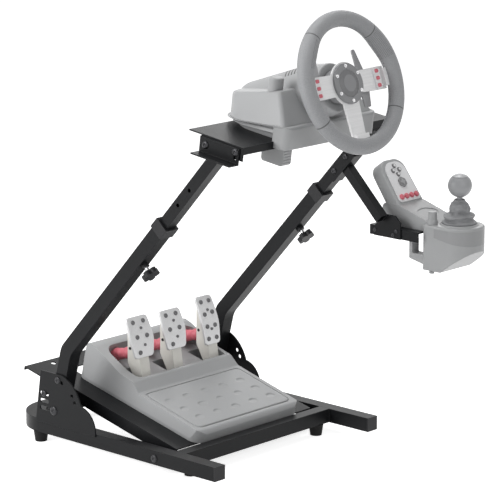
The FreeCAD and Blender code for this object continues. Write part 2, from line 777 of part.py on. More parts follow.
bracket = joined([
    block(bracket_in, bracket_web, BRACKET_FRONT, BRACKET_REAR, -BRACKET_DEPTH, -BRACKET_TOP_GAP),
    block(bracket_in, bracket_out, BRACKET_FRONT, BRACKET_REAR, -BRACKET_DEPTH, SHEET - BRACKET_DEPTH),
])
bracket = bracket.cut(rod_x(0, REACH, TILT_V, TILT_W, TILT_BOLT_R + PIN_GAP))
slot_reach = TILT_SLOT_V - TILT_V
slot_rise = TILT_SLOT_W - TILT_W
SLOT_STEPS = 4
for step in range(SLOT_STEPS + 1):
    turn = math.radians(TILT_RANGE * step / SLOT_STEPS)
    hole_v = TILT_V + slot_reach * math.cos(turn) - slot_rise * math.sin(turn)
    hole_w = TILT_W + slot_reach * math.sin(turn) + slot_rise * math.cos(turn)
    bracket = bracket.cut(rod_x(0, REACH, hole_v, hole_w, TILT_BOLT_R + FACE_GAP))
bracket = on_plate(bracket)
parts["plate_brackets"] = Part.makeCompound([bracket, mirrored(bracket)])

# Wheel plate: a sheet with a turned-down front and two side flanges
plate = joined([
    block(-PLATE_HALF, PLATE_HALF, PLATE_FRONT, PLATE_REAR, -PLATE_THICK, 0),
    block(-PLATE_HALF, PLATE_HALF, PLATE_FRONT, PLATE_FRONT + PLATE_THICK, -PLATE_FRONT_FLANGE, 0),
    block(PLATE_HALF - PLATE_THICK, PLATE_HALF, PLATE_FRONT, BRACKET_REAR, -PLATE_SIDE_FLANGE, 0),
    block(-PLATE_HALF, PLATE_THICK - PLATE_HALF, PLATE_FRONT, BRACKET_REAR, -PLATE_SIDE_FLANGE, 0),
])
plate_bolts = []
for bolt_v, bolt_w in ((TILT_V, TILT_W), (TILT_SLOT_V, TILT_SLOT_W)):
    plate = plate.cut(rod_x(-REACH, REACH, bolt_v, bolt_w, TILT_BOLT_R))
    bolt = joined([
        rod_x(PLATE_HALF - 2 * PLATE_THICK, bracket_web + FACE_GAP, bolt_v, bolt_w, TILT_BOLT_R),
        rod_x(bracket_web + FACE_GAP, bracket_web + FACE_GAP + SHEET, bolt_v, bolt_w, 2 * TILT_BOLT_R),
    ])
    plate_bolts.append(on_plate(bolt))
    plate_bolts.append(mirrored(plate_bolts[-1]))
parts["wheel_plate"] = on_plate(plate)
parts["plate_bolts"] = Part.makeCompound(plate_bolts)


# Wheel base: a lower shell on the plate, an upper shell with the motor barrel, and a front apron
def base_plan(half, front, rear, front_corner, rear_corner):
    """A plan with a straight front and a round back."""
    return rounded_face([
        (-half, front, front_corner),
        (half, front, front_corner),
        (half, rear, rear_corner),
        (-half, rear, rear_corner),
    ]).OuterWire


def base_wire(half, front, rear, rear_corner, w):
    """A closed plan of the wheel base at height w over the plate's front, falling towards the rear as it rises."""
    wire = base_plan(half, front, rear, SHOULDER_ROUND, rear_corner)
    wire.rotate(V(0, front, 0), X_AXIS, -PART_FALL * w / PART_W)
    wire.translate(V(0, 0, w))
    return wire


band_half = PART_HALF - BAND_INSET
band_rear = PART_REAR - BAND_INSET
lower_wires = [
    base_wire(SEAT_HALF, SEAT_FRONT, SEAT_REAR, SEAT_CORNER, 0),
    base_wire(band_half - LIP_OUT, BAND_FRONT + LIP_OUT, band_rear - LIP_OUT, BAND_CORNER, LIP_W - LIP_OUT),
    base_wire(band_half + LIP_OUT, BAND_FRONT, band_rear + LIP_OUT, BAND_CORNER, LIP_W),
    base_wire(band_half, BAND_FRONT - LIP_OUT, band_rear, BAND_CORNER, BAND_W),
    base_wire(PART_HALF, PART_FRONT, PART_REAR, REAR_CORNER, PART_W),
]
lower_shell = joined([
    Part.makeLoft([low, high], True, True) for low, high in zip(lower_wires[:-1], lower_wires[1:])])
shoulder_wire = base_plan(SHOULDER_HALF, 0, SHOULDER_REAR - SHOULDER_FRONT, SHOULDER_ROUND, SHOULDER_CORNER)
shoulder_wire.rotate(V(0, 0, 0), X_AXIS, -SHOULDER_SLOPE)
shoulder_wire.translate(V(0, SHOULDER_FRONT, SHOULDER_FRONT_W))
upper_low_wire = base_wire(PART_HALF - SEAM_STEP, PART_FRONT + SEAM_STEP, PART_REAR - SEAM_STEP, REAR_CORNER, PART_W)
upper_shell = Part.makeLoft([upper_low_wire, shoulder_wire], True, True)
shoulder_edges = [edge for edge in upper_shell.Edges if edge.BoundBox.ZMin > PART_W + 1]
upper_shell = upper_shell.makeFillet(SHOULDER_EDGE, shoulder_edges)
column_foot = base_plan(COLUMN_FOOT_HALF, COLUMN_FRONT, 0, COLUMN_CORNER, COLUMN_BACK_CORNER)
column_foot.translate(V(0, 0, PART_W))
column_top = base_plan(COLUMN_TOP_HALF, COLUMN_FRONT + COLUMN_LEAN, 0, COLUMN_CORNER, COLUMN_BACK_CORNER)
column_top.translate(V(0, 0, COLUMN_TOP_W))
column = Part.makeLoft([column_foot, column_top], True, True)

barrel = Part.makeCylinder(BARREL_R, BARREL_BACK - BARREL_FRONT - BARREL_NOSE, V(0, 0, -BARREL_BACK), Z_AXIS)
back_edges = [edge for edge in barrel.Edges if edge.BoundBox.ZMax < 1 - BARREL_BACK]
barrel = barrel.makeFillet(BARREL_BACK_ROUND, back_edges)
nose = Part.makeCone(BARREL_R, BARREL_NOSE_R, BARREL_NOSE, V(0, 0, -BARREL_FRONT - BARREL_NOSE), Z_AXIS)
nose_front = [edge for edge in nose.Edges if edge.BoundBox.ZMin > -BARREL_FRONT - 1]
nose = nose.makeFillet(BARREL_NOSE_ROUND, nose_front)
barrel = barrel.fuse(nose)
for number in range(VENT_COUNT):
    vent = block(-VENT_LENGTH / 2, VENT_LENGTH / 2, BARREL_R - VENT_DEPTH, REACH, -VENT_WIDTH / 2, VENT_WIDTH / 2)
    vent.rotate(V(0, 0, 0), Y_AXIS, VENT_SLANT)
    vent.translate(V(0, 0, -BARREL_FRONT - VENT_FIRST - number * VENT_PITCH))
    barrel = barrel.cut(vent)
barrel = on_wheel(barrel).cut(on_plate(block(-REACH, REACH, -REACH, REACH, -REACH, PART_W)))
bore_end = -BARREL_FRONT - SHAFT_LENGTH - 1
shaft_bore = Part.makeCylinder(SHAFT_R + PIN_GAP, SHAFT_LENGTH + 2, V(0, 0, bore_end), Z_AXIS)
parts["base_upper_shell"] = joined([on_plate(upper_shell), on_plate(column), barrel]).cut(on_wheel(shaft_bore))

apron = slab_yz([
    (APRON_FRONT, APRON_BOTTOM, APRON_LOW_ROUND),
    (PLATE_FRONT - FACE_GAP, APRON_BOTTOM),
    (PLATE_FRONT - FACE_GAP, 0),
    (SEAT_FRONT, 0),
    (SEAT_FRONT, PART_W),
    (APRON_FRONT, PART_W, APRON_TOP_ROUND),
], -APRON_HALF, APRON_HALF)
apron_plan = slab_xy([
    (-APRON_HALF, APRON_FRONT, APRON_CORNER),
    (APRON_HALF, APRON_FRONT, APRON_CORNER),
    (APRON_HALF, 0),
    (-APRON_HALF, 0),
], -REACH, REACH)
apron = apron.common(apron_plan).cut(lower_shell).cut(upper_shell)
parts["base_lower_shell"] = on_plate(lower_shell)
parts["base_apron"] = on_plate(apron)

clamp = slab_yz([
    (CLAMP_FRONT, APRON_BOTTOM),
    (CLAMP_FRONT, CLAMP_BOTTOM, CLAMP_ROUND),
    (CLAMP_REAR, CLAMP_BOTTOM, CLAMP_ROUND),
    (CLAMP_REAR, -PLATE_THICK),
    (PLATE_FRONT - FACE_GAP, -PLATE_THICK),
    (PLATE_FRONT - FACE_GAP, APRON_BOTTOM),
], CLAMP_IN, CLAMP_OUT)
clamp = on_plate(clamp).cut(parts["wheel_plate"])
knob_post = revolved([
    (0, PART_W),
    (CLAMP_KNOB_R, PART_W),
    (CLAMP_KNOB_R, CLAMP_KNOB_TOP, CLAMP_KNOB_ROUND),
    (0, CLAMP_KNOB_TOP),
])
knob_post.translate(V(CLAMP_KNOB_X, CLAMP_KNOB_V, 0))
base_knob = on_plate(knob_post).cut(parts["base_upper_shell"])
base_knob = max(base_knob.Solids, key=lambda solid: solid.CenterOfMass.z)
parts["base_clamps"] = Part.makeCompound([clamp, mirrored(clamp), base_knob, mirrored(base_knob)])

# Steering wheel
rim_rings = []
for number in range(RIM_SECTIONS):
    angle = 360.0 * number / RIM_SECTIONS
    swell = GRIP_SWELL * sum(math.exp(-((angle - grip) / GRIP_SPREAD) ** 2) for grip in GRIP_ANGLES)
    ring = Part.Wire(Part.makeCircle(RIM_TUBE_R + swell, V(RIM_R - swell, 0, 0), Y_AXIS))
    ring.rotate(V(0, 0, 0), Z_AXIS, angle)
    rim_rings.append(ring)
rim = Part.makeLoft(rim_rings, True, False, True)
parts["wheel_rim"] = on_wheel(rim)
spoke_back = -HUB_BACK - SPOKE_THICK
rim_inner = RIM_R - RIM_TUBE_R
arm_half = SPOKE_HEIGHT / 2
root_half = arm_half - SPOKE_WAIST
spoke_plan = [
    (-LOWER_SPOKE_TIP / 2, -rim_inner),
    (LOWER_SPOKE_TIP / 2, -rim_inner),
    (LOWER_SPOKE / 2, -root_half, SPOKE_FILLET),
    (STRIP_IN, -arm_half, SPOKE_FILLET),
    (rim_inner, -arm_half),
    (rim_inner, arm_half),
    (STRIP_IN, arm_half, SPOKE_FILLET),
    (0, root_half, 2 * SPOKE_FILLET),
    (-STRIP_IN, arm_half, SPOKE_FILLET),
    (-rim_inner, arm_half),
    (-rim_inner, -arm_half),
    (-STRIP_IN, -arm_half, SPOKE_FILLET),
    (-LOWER_SPOKE / 2, -root_half, SPOKE_FILLET),
]
spoke_pieces = [
    slab_xy(spoke_plan, spoke_back, -HUB_BACK),
    Part.makeCylinder(HUB_R + HUB_FLANGE, SPOKE_THICK, V(0, 0, spoke_back), Z_AXIS),
]
for angle in (0, 180, 270):
    tab = block(rim_inner - TAB_DEPTH, RIM_R, -TAB_HALF, TAB_HALF, spoke_back, TAB_FRONT)
    tab.rotate(V(0, 0, 0), Z_AXIS, angle)
    spoke_pieces.append(tab)
spokes = joined(spoke_pieces).cut(rim)
parts["wheel_spokes"] = on_wheel(max(spokes.Solids, key=lambda solid: solid.Volume))
hub_front = HUB_THICK - HUB_BACK
parts["hub_disc"] = on_wheel(revolved([
    (0, -HUB_BACK),
    (HUB_R, -HUB_BACK),
    (HUB_R, hub_front, HUB_EDGE),
    (HUB_DISH_R + DISH_DEPTH, hub_front, DISH_EDGE),
    (HUB_DISH_R, hub_front - DISH_DEPTH, DISH_EDGE),
    (HUB_DOME_R, hub_front + DISH_DEPTH, DOME_ROUND),
    (0, hub_front + DOME_RISE),
]))

strip_half = SPOKE_HEIGHT / 2 - STRIP_INSET
strip = block(STRIP_IN, STRIP_IN + STRIP_WIDTH, -strip_half, strip_half, -HUB_BACK, STRIP_THICK - HUB_BACK)
strip = on_wheel(strip)
parts["button_strips"] = Part.makeCompound([strip, mirrored(strip)])
button_z = STRIP_THICK - HUB_BACK
buttons = []
for number in range(BUTTONS_PER_STRIP):
    button_y = (number - (BUTTONS_PER_STRIP - 1) / 2) * BUTTON_PITCH
    middle = STRIP_IN + STRIP_WIDTH / 2
    button = on_wheel(block(
        middle - BUTTON_HALF_WIDTH, middle + BUTTON_HALF_WIDTH,
        button_y - BUTTON_HALF_HEIGHT, button_y + BUTTON_HALF_HEIGHT, button_z, button_z + BUTTON_OUT))
    buttons.append(button)
    buttons.append(mirrored(button))
parts["wheel_buttons"] = Part.makeCompound(buttons)

boss = Part.makeCylinder(BOSS_R, BOSS_BACK + spoke_back, V(0, 0, -BOSS_BACK), Z_AXIS)
shaft_end = -BARREL_FRONT - SHAFT_LENGTH
shaft = Part.makeCylinder(SHAFT_R, -BOSS_BACK - shaft_end, V(0, 0, shaft_end), Z_AXIS)
boss_pieces = [boss, shaft]
lug_low = PADDLE_SLEEVE / 2 + FACE_GAP
lug_reach = PADDLE_PIN_X + PADDLE_SLEEVE_R
for side in (-1, 1):
    for end in (-1, 1):
        y_edges = sorted((end * lug_low, end * (lug_low + PADDLE_LUG)))
        x_edges = sorted((0, side * lug_reach))
        back = -PADDLE_BACK - PADDLE_SLEEVE_R
        boss_pieces.append(block(x_edges[0], x_edges[1], y_edges[0], y_edges[1], back, back + 2 * PADDLE_SLEEVE_R))
    pin_start = V(side * PADDLE_PIN_X, -lug_low, -PADDLE_BACK)
    boss_pieces.append(Part.makeCylinder(PADDLE_PIN_R, 2 * lug_low, pin_start, Y_AXIS))
parts["wheel_boss"] = on_wheel(joined(boss_pieces))

blade_in = PADDLE_PIN_X
blade_neck = lug_reach + PADDLE_NECK
paddle_outline = [
    (blade_in, -PADDLE_SLEEVE / 2),
    (blade_neck, -PADDLE_SLEEVE / 2),
    (blade_in + PADDLE_ROOT, PADDLE_BOTTOM, PADDLE_ROUND),
    (blade_in + PADDLE_FOOT, PADDLE_BOTTOM, PADDLE_ROUND),
    (blade_in + PADDLE_BULGE, 0, PADDLE_BULGE_ROUND),
    (blade_in + PADDLE_TIP_OUT, PADDLE_TOP, PADDLE_ROUND),
    (blade_in + PADDLE_TIP_IN, PADDLE_TOP, PADDLE_ROUND),
    (blade_in + PADDLE_ROOT, PADDLE_SLEEVE / 2 + PADDLE_ROOT_UP, PADDLE_ROUND),
    (blade_neck, PADDLE_SLEEVE / 2),
    (blade_in, PADDLE_SLEEVE / 2),
]
blade_low = -PADDLE_BACK - PADDLE_THICK / 2
blade = slab_xy(paddle_outline, blade_low, blade_low + PADDLE_THICK)
sleeve_start = V(PADDLE_PIN_X, -PADDLE_SLEEVE / 2, -PADDLE_BACK)
paddle = blade.fuse(Part.makeCylinder(PADDLE_SLEEVE_R, PADDLE_SLEEVE, sleeve_start, Y_AXIS))
pin_way_start = V(PADDLE_PIN_X, -2 * PADDLE_SLEEVE, -PADDLE_BACK)
pin_way = Part.makeCylinder(PADDLE_PIN_R + PIN_GAP, 4 * PADDLE_SLEEVE, pin_way_start, Y_AXIS)
paddle = paddle.cut(pin_way)
parts["right_paddle"] = on_wheel(paddle)
parts["left_paddle"] = mirrored(parts["right_paddle"])

# Pedal tray: side strips, cross strips and turned-down edges, on pivots at the front
tray_top = TRAY_DROP
tray_under = TRAY_DROP - TRAY_SHEET
tray_pieces = []
strip_in = TRAY_HALF - TRAY_STRIP
for side in (-1, 1):
    x_edges = sorted((side * strip_in, side * TRAY_HALF))
    flange = sorted((side * (TRAY_HALF - TRAY_SHEET), side * TRAY_HALF))
    tray_pieces.append(block(x_edges[0], x_edges[1], TRAY_FRONT, TRAY_REAR, tray_under, tray_top))
    tray_pieces.append(block(flange[0], flange[1], TRAY_FRONT, TRAY_FLANGE_END, tray_top - TRAY_FLANGE, tray_top))
rear_bar = TRAY_REAR - TRAY_REAR_BAR
for bar_half, bar_start, bar_end in (
        (strip_in, TRAY_FRONT, TRAY_FRONT + TRAY_FRONT_BAR),
        (strip_in, TRAY_MIDDLE_S, TRAY_MIDDLE_S + TRAY_MIDDLE_BAR),
        (TRAY_REAR_HALF, rear_bar, TRAY_REAR)):
    tray_pieces.append(block(-bar_half, bar_half, bar_start, bar_end, tray_under, tray_top))
tray_pieces.append(block(
    -TRAY_REAR_HALF, TRAY_REAR_HALF, TRAY_REAR - TRAY_SHEET, TRAY_REAR, tray_top - TRAY_LIP, tray_top))
tray = joined(tray_pieces)
for hole_s in (0, TRAY_BOLT_S):
    tray = tray.cut(rod_x(-REACH, REACH, hole_s, 0, TRAY_BOLT_R + PIN_GAP))
for side in (-1, 1):
    tray = tray.cut(rod_z(side * TRAY_HOLE_X, TRAY_REAR - TRAY_HOLE_BACK, 0, REACH, TRAY_HOLE_R))
parts["pedal_tray"] = on_tray(tray)

tray_pivot = joined([
    rod_x(TRAY_HALF - 3 * TRAY_SHEET, HALF_WIDTH, TRAY_PIVOT_Y, TRAY_PIVOT_Z, TRAY_BOLT_R),
    rod_x(HALF_WIDTH, HALF_WIDTH + SHEET, TRAY_PIVOT_Y, TRAY_PIVOT_Z, 2 * TRAY_BOLT_R),
    rod_x(TRAY_HALF + FACE_GAP, HALF_WIDTH - TUBE, TRAY_PIVOT_Y, TRAY_PIVOT_Z, 2 * TRAY_BOLT_R),
])
parts["tray_pivots"] = Part.makeCompound([tray_pivot, mirrored(tray_pivot)])

tray_bolt = on_tray(rod_x(TRAY_HALF - 3 * TRAY_SHEET, GUSSET_IN - FACE_GAP, TRAY_BOLT_S, 0, TRAY_BOLT_R))
parts["tray_bolts"] = Part.makeCompound([tray_bolt, mirrored(tray_bolt)])

slot_bolt = joined([
    rod_x(GUSSET_IN, GUSSET_OUT, TRAY_BOLT_Y, TRAY_BOLT_Z, TRAY_BOLT_R),
    rod_x(GUSSET_OUT, GUSSET_OUT + SHEET, TRAY_BOLT_Y, TRAY_BOLT_Z, 2 * TRAY_BOLT_R),
])
parts["slot_bolts"] = Part.makeCompound([slot_bolt, mirrored(slot_bolt)])

# Pedal unit: a moulded housing with a foot rest, a step and a well for the arms
unit_low = UNIT_CENTRE_X - UNIT_WIDTH / 2
unit_high = UNIT_CENTRE_X + UNIT_WIDTH / 2
front = UNIT_FRONT_S
floor = tray_top
unit_profile = [
    (front, floor),
    (front + UNIT_LENGTH, floor),
    (front + UNIT_LENGTH, floor + CREST_HEIGHT, CREST_BACK_ROUND),
    (front + CREST_LENGTH, floor + CREST_HEIGHT - CREST_FALL, CREST_ROUND),
    (front + DECK_LENGTH, floor + DECK_HEIGHT + DECK_RISE, DECK_ROUND),
    (front + REST_LENGTH + STEP_LENGTH, floor + DECK_HEIGHT, STEP_ROUND),
    (front + REST_LENGTH, floor + REST_HEIGHT, STEP_ROUND),
    (front, floor + REST_HEIGHT - REST_FALL, STEP_ROUND),
]
unit = slab_yz(unit_profile, unit_low, unit_high)
unit_plan = slab_xy([
    (unit_low, front, UNIT_CORNER),
    (unit_high, front, UNIT_CORNER),
    (unit_high, front + UNIT_LENGTH, UNIT_CORNER),
    (unit_low, front + UNIT_LENGTH, UNIT_CORNER),
], 0, REACH)
unit = unit.common(unit_plan)
draft_run = math.tan(math.radians(UNIT_DRAFT))
for side in (-1, 1):
    edge_x = UNIT_CENTRE_X + side * UNIT_WIDTH / 2
    skirt = floor + UNIT_EDGE
    flank = [
        (edge_x, skirt),
        (edge_x - side * draft_run * REACH, skirt + REACH),
        (edge_x + side * REACH, skirt + REACH),
        (edge_x + side * REACH, skirt),
    ]
    wedge = rounded_face(flank).extrude(V(0, 0, 2 * REACH))
    wedge.rotate(V(0, 0, 0), X_AXIS, 90)
    wedge.translate(V(0, REACH, 0))
    unit = unit.cut(wedge)
well = slab_xy([
    (unit_low + WELL_MARGIN, front + WELL_FRONT, UNIT_CORNER / 2),
    (unit_high - WELL_MARGIN / 2, front + WELL_FRONT, UNIT_CORNER / 2),
    (unit_high - WELL_MARGIN / 2, front + WELL_REAR, WELL_CORNER),
    (unit_low + WELL_MARGIN, front + WELL_REAR, WELL_CORNER),
], floor + WELL_FLOOR, REACH)
unit = unit.cut(well)

# Foot rest: a sunk panel with a raised border and rows of low crescents
rest_slope = math.degrees(math.atan2(REST_FALL, REST_LENGTH))
panel = slab_xy([
    (unit_low + PANEL_MARGIN, PANEL_MARGIN, PANEL_CORNER),
    (unit_high - PANEL_MARGIN, PANEL_MARGIN, PANEL_CORNER),
    (unit_high - PANEL_MARGIN, REST_LENGTH - PANEL_MARGIN / 2, PANEL_CORNER / 2),
    (unit_low + PANEL_MARGIN, REST_LENGTH - PANEL_MARGIN / 2, PANEL_CORNER / 2),
], -PANEL_DEPTH, PANEL_MARGIN)
rest_top = floor + REST_HEIGHT - REST_FALL


def on_rest(shape):
    """Moves a shape from the foot rest's own axes (x, s, out of its top) to the tray's axes."""
    return turned(shape, rest_slope, front, rest_top)


unit = unit.cut(on_rest(panel))
ball_low = GRIP_RISE - PANEL_DEPTH - GRIP_BALL_R
crescents = []
for row in range(GRIP_ROWS):
    for column_number in range(GRIP_COLUMNS):
        row_place = row - (GRIP_ROWS - 1) / 2
        shift = column_number - (GRIP_COLUMNS - 1) / 2 + row_place * GRIP_SKEW
        grip_x = UNIT_CENTRE_X + shift * GRIP_PITCH_X
        grip_s = REST_LENGTH / 2 + GRIP_BACK + row_place * GRIP_PITCH_S
        dome = Part.makeSphere(GRIP_BALL_R, V(grip_x, grip_s, ball_low))
        half_space = block(
            grip_x - GRIP_LENGTH, grip_x + GRIP_LENGTH, grip_s, grip_s + GRIP_LENGTH, -PANEL_DEPTH - GRIP_ROOT, REACH)
        crescents.append(on_rest(dome.common(half_space)))
unit = unit.multiFuse(crescents)
pivot_s = front + PEDAL_PIVOT_S
pivot_h = floor + PEDAL_PIVOT_H
slot_width = ARM_WIDTH / 2 + SLOT_SIDE_GAP
pins = []
PEDAL_X = [UNIT_CENTRE_X + PEDAL_MIDDLE + share * UNIT_WIDTH for share in PEDAL_SHARES]
for pedal_x in PEDAL_X:
    pit_start = pivot_s - PEDAL_EYE_R - PIT_FRONT
    pit_roof = pivot_h + PEDAL_EYE_R + PIT_ROOF
    pit_end = pivot_s + PIT_REAR
    pit_low = floor + PIT_FLOOR
    unit = unit.cut(block(pedal_x - slot_width, pedal_x + slot_width, pit_start, pit_end, pit_low, pit_roof))
    unit = unit.cut(block(pedal_x - slot_width, pedal_x + slot_width, front + WELL_FRONT, pit_end, pit_low, REACH))
    pins.append(on_tray(rod_x(pedal_x - slot_width, pedal_x + slot_width, pivot_s, pivot_h, PEDAL_PIN_R)))
parts["pedal_unit"] = on_tray(unit)
parts["pedal_pins"] = Part.makeCompound(pins)

# Pedals: an arm on a floor pin with a metal face
slope = math.radians(TRAY_SLOPE)
pin_y = TRAY_PIVOT_Y + pivot_s * math.cos(slope) - pivot_h * math.sin(slope)
pin_z = TRAY_PIVOT_Z + pivot_s * math.sin(slope) + pivot_h * math.cos(slope)
lean = math.radians(FACE_LEAN)
well_back_s = front + WELL_REAR
arm_rooms = {}
for name, pedal_x, top_width, middle_width, foot_width, length, face_z in zip(
        ("clutch", "brake", "throttle"), PEDAL_X, FACE_WIDTHS, FACE_MIDDLES, FACE_FEET, FACE_LENGTHS, FACE_BOTTOMS):
    bow = length ** 2 / (8 * FACE_BOW_R)
    seat = FACE_THICK - bow / 2
    up_y = math.sin(lean)
    up_z = math.cos(lean)
    back_y = math.cos(lean)
    back_z = -math.sin(lean)
    foot_y = FACE_FRONT_Y + seat * back_y
    foot_z = face_z + seat * back_z
    top_y = foot_y + up_y * length * ARM_SHARE
    top_z = foot_z + up_z * length * ARM_SHARE
    cheek_y = foot_y + CHEEK_DEPTH - ARM_THICK
    outline = [
        (pin_y - ARM_THICK / 2, pin_z),
        (pin_y + ARM_THICK, pin_z),
        (cheek_y, pin_z + CHEEK_RISE, CHEEK_ROUND),
        (cheek_y, pin_z + CHEEK_RISE + CHEEK_HIGH, CHEEK_ROUND),
        (top_y + ARM_THICK * back_y, top_z + ARM_THICK * back_z, ARM_TIP_ROUND),
        (top_y, top_z),
        (foot_y, foot_z, ARM_BEND_R),
    ]
    arm_low = pedal_x - ARM_WIDTH / 2
    arm_high = pedal_x + ARM_WIDTH / 2
    solid_arm = slab_yz(outline, arm_low, arm_high)
    arm_rooms[name] = solid_arm
    hollow = slab_yz(outline, arm_low + ARM_SHEET, arm_high - ARM_SHEET)
    hollow.translate(V(0, ARM_SHEET, 0))
    arm = solid_arm.cut(hollow).fuse(rod_x(arm_low, arm_high, pin_y, pin_z, PEDAL_EYE_R)).removeSplitter()
    arm = arm.cut(rod_x(-REACH, REACH, pin_y, pin_z, PEDAL_PIN_R + PIN_GAP))
    half = top_width / 2
    outline = [
        (-foot_width / 2, 0, FACE_CORNER),
        (foot_width / 2, 0, FACE_CORNER),
        (middle_width / 2, length * FLANK_UP, length * FLANK_ROUND),
        (half, length, FACE_CORNER),
        (-half, length, FACE_CORNER),
        (-middle_width / 2, length * FLANK_UP, length * FLANK_ROUND),
    ]
    # The face is bent: its front lies on a cylinder whose axis runs across the pedal
    bow_h = bow - FACE_BOW_R
    outer = rod_x(-middle_width, middle_width, length / 2, bow_h, FACE_BOW_R)
    inner = rod_x(-middle_width, middle_width, length / 2, bow_h, FACE_BOW_R - FACE_THICK)
    plate_face = slab_xy(outline, -2 * FACE_THICK, 2 * FACE_THICK).common(outer).cut(inner)
    front_edges = []
    for edge in plate_face.Edges:
        reaches = [math.hypot(corner.Y - length / 2, corner.Z - bow_h) for corner in edge.Vertexes]
        if min(reaches) > FACE_BOW_R - FACE_THICK / 2:
            front_edges.append(edge)
    plate_face = plate_face.makeFillet(FACE_EDGE, front_edges)
    studs = []
    for across, up, radius in LONG_STUDS if name == "throttle" else SHORT_STUDS:
        stud_lean = math.asin((up - 0.5) * length / FACE_BOW_R)
        stud = rod_z(across * half, 0, FACE_BOW_R - STUD_ROOT, FACE_BOW_R + STUD_RISE, radius)
        stud.rotate(V(0, 0, 0), X_AXIS, -math.degrees(stud_lean))
        stud.translate(V(0, length / 2, bow_h))
        studs.append(stud)
    plate_face = plate_face.multiFuse(studs)
    plate_face = turned(plate_face, 90 - FACE_LEAN, FACE_FRONT_Y, face_z, pedal_x)
    parts[name + "_arm"] = arm.cut(plate_face)
    parts[name + "_face"] = plate_face

# Return springs in sleeves between the arms and the back of the well
spring_start = pivot_s + SPRING_START
spring_high = pivot_h + SPRING_HIGH
spring_low = floor + WELL_FLOOR + SPRING_LOW
spring_way = V(0, well_back_s - spring_start, spring_low - spring_high)
for name, pedal_x in zip(("clutch", "brake", "throttle"), PEDAL_X):
    cone = on_tray(Part.makeCone(
        SPRING_TIP_R, SPRING_R, spring_way.Length, V(pedal_x, spring_start, spring_high), spring_way))
    arm_room = arm_rooms[name]
    arm_room.translate(V(0, FACE_GAP, 0))
    pieces = cone.cut(arm_room).cut(parts["pedal_unit"]).Solids
    parts[name + "_spring"] = max(pieces, key=lambda solid: solid.CenterOfMass.y)

# Shifter arm: a clip on the riser, a square tube, a gusset and a channel plate
arm_mid = RISER_HOLE_UP + RISER_HOLE_PITCH / 2
arm_start_y = LEG_TOP_Y - arm_mid * SIN_LEAN - RISER_TUBE / 2 * COS_LEAN
arm_start_z = LEG_TOP_Z + arm_mid * COS_LEAN - RISER_TUBE / 2 * SIN_LEAN
clip_x = UPRIGHT_X + RISER_TUBE / 2
clip = block(0, CLIP_THICK, -RISER_TUBE / 2 - CLIP_THICK, RISER_TUBE / 2, -CLIP_LENGTH / 2, CLIP_LENGTH / 2)
clip_front = block(
    -RISER_TUBE, CLIP_THICK, -RISER_TUBE / 2 - CLIP_THICK, -RISER_TUBE / 2, -CLIP_LENGTH / 2, CLIP_LENGTH / 2)
clip = leaned(joined([clip, clip_front]), arm_mid, clip_x)
arm_tube = square_tube(ARM_TUBE, ARM_WALL, 0, ARM_LENGTH)
arm_tube.rotate(V(0, 0, 0), X_AXIS, 90 + ARM_FALL)
arm_tube.translate(V(ARM_X + ARM_TUBE / 2, arm_start_y, arm_start_z))
riser_solid = leaned(block(
    -RISER_TUBE / 2, RISER_TUBE / 2 + CLIP_THICK, -RISER_TUBE / 2 - CLIP_THICK, REACH, -REACH, REACH), 0, UPRIGHT_X)
parts["shifter_clip"] = clip
parts["shifter_arm"] = arm_tube.cut(riser_solid)


def on_carrier(shape):
    """Moves a shape whose y and z are counted from the arm's start on the riser to the stand."""
    placed = shape.copy()
    placed.translate(V(0, arm_start_y, arm_start_z))
    return placed


shift_low = SHIFT_PLATE_TOP - SHIFT_PLATE_DROP
gusset_rear = SHIFT_PLATE_REAR - GUSSET_STEP
gusset_front = gusset_rear - SHIFT_GUSSET_LENGTH
parts["shifter_gusset"] = on_carrier(slab_yz([
    (gusset_rear, shift_low),
    (gusset_rear, SHIFT_PLATE_TOP),
    (gusset_rear - SHIFT_GUSSET_SLOPE, SHIFT_PLATE_TOP + GUSSET_HIGH, SHEET_CORNER),
    (gusset_front + SHIFT_GUSSET_NOSE, SHIFT_PLATE_TOP + GUSSET_HIGH, SHEET_CORNER),
    (gusset_front, SHIFT_PLATE_TOP + GUSSET_STEP, SHEET_CORNER),
    (gusset_front, shift_low),
], ARM_RIGHT, ARM_RIGHT + SHEET))

plate_far = SHIFT_PLATE_X + SHIFT_PLATE_WIDTH
parts["shifter_plate"] = on_carrier(joined([
    block(SHIFT_PLATE_X, plate_far, SHIFT_PLATE_FRONT, SHIFT_PLATE_REAR, SHIFT_PLATE_TOP - SHEET, SHIFT_PLATE_TOP),
    block(SHIFT_PLATE_X, SHIFT_PLATE_X + SHEET, SHIFT_PLATE_FRONT, SHIFT_PLATE_REAR, shift_low, SHIFT_PLATE_TOP),
    block(plate_far - SHEET, plate_far, SHIFT_PLATE_FRONT, SHIFT_PLATE_REAR, shift_low, SHIFT_PLATE_TOP),
]))

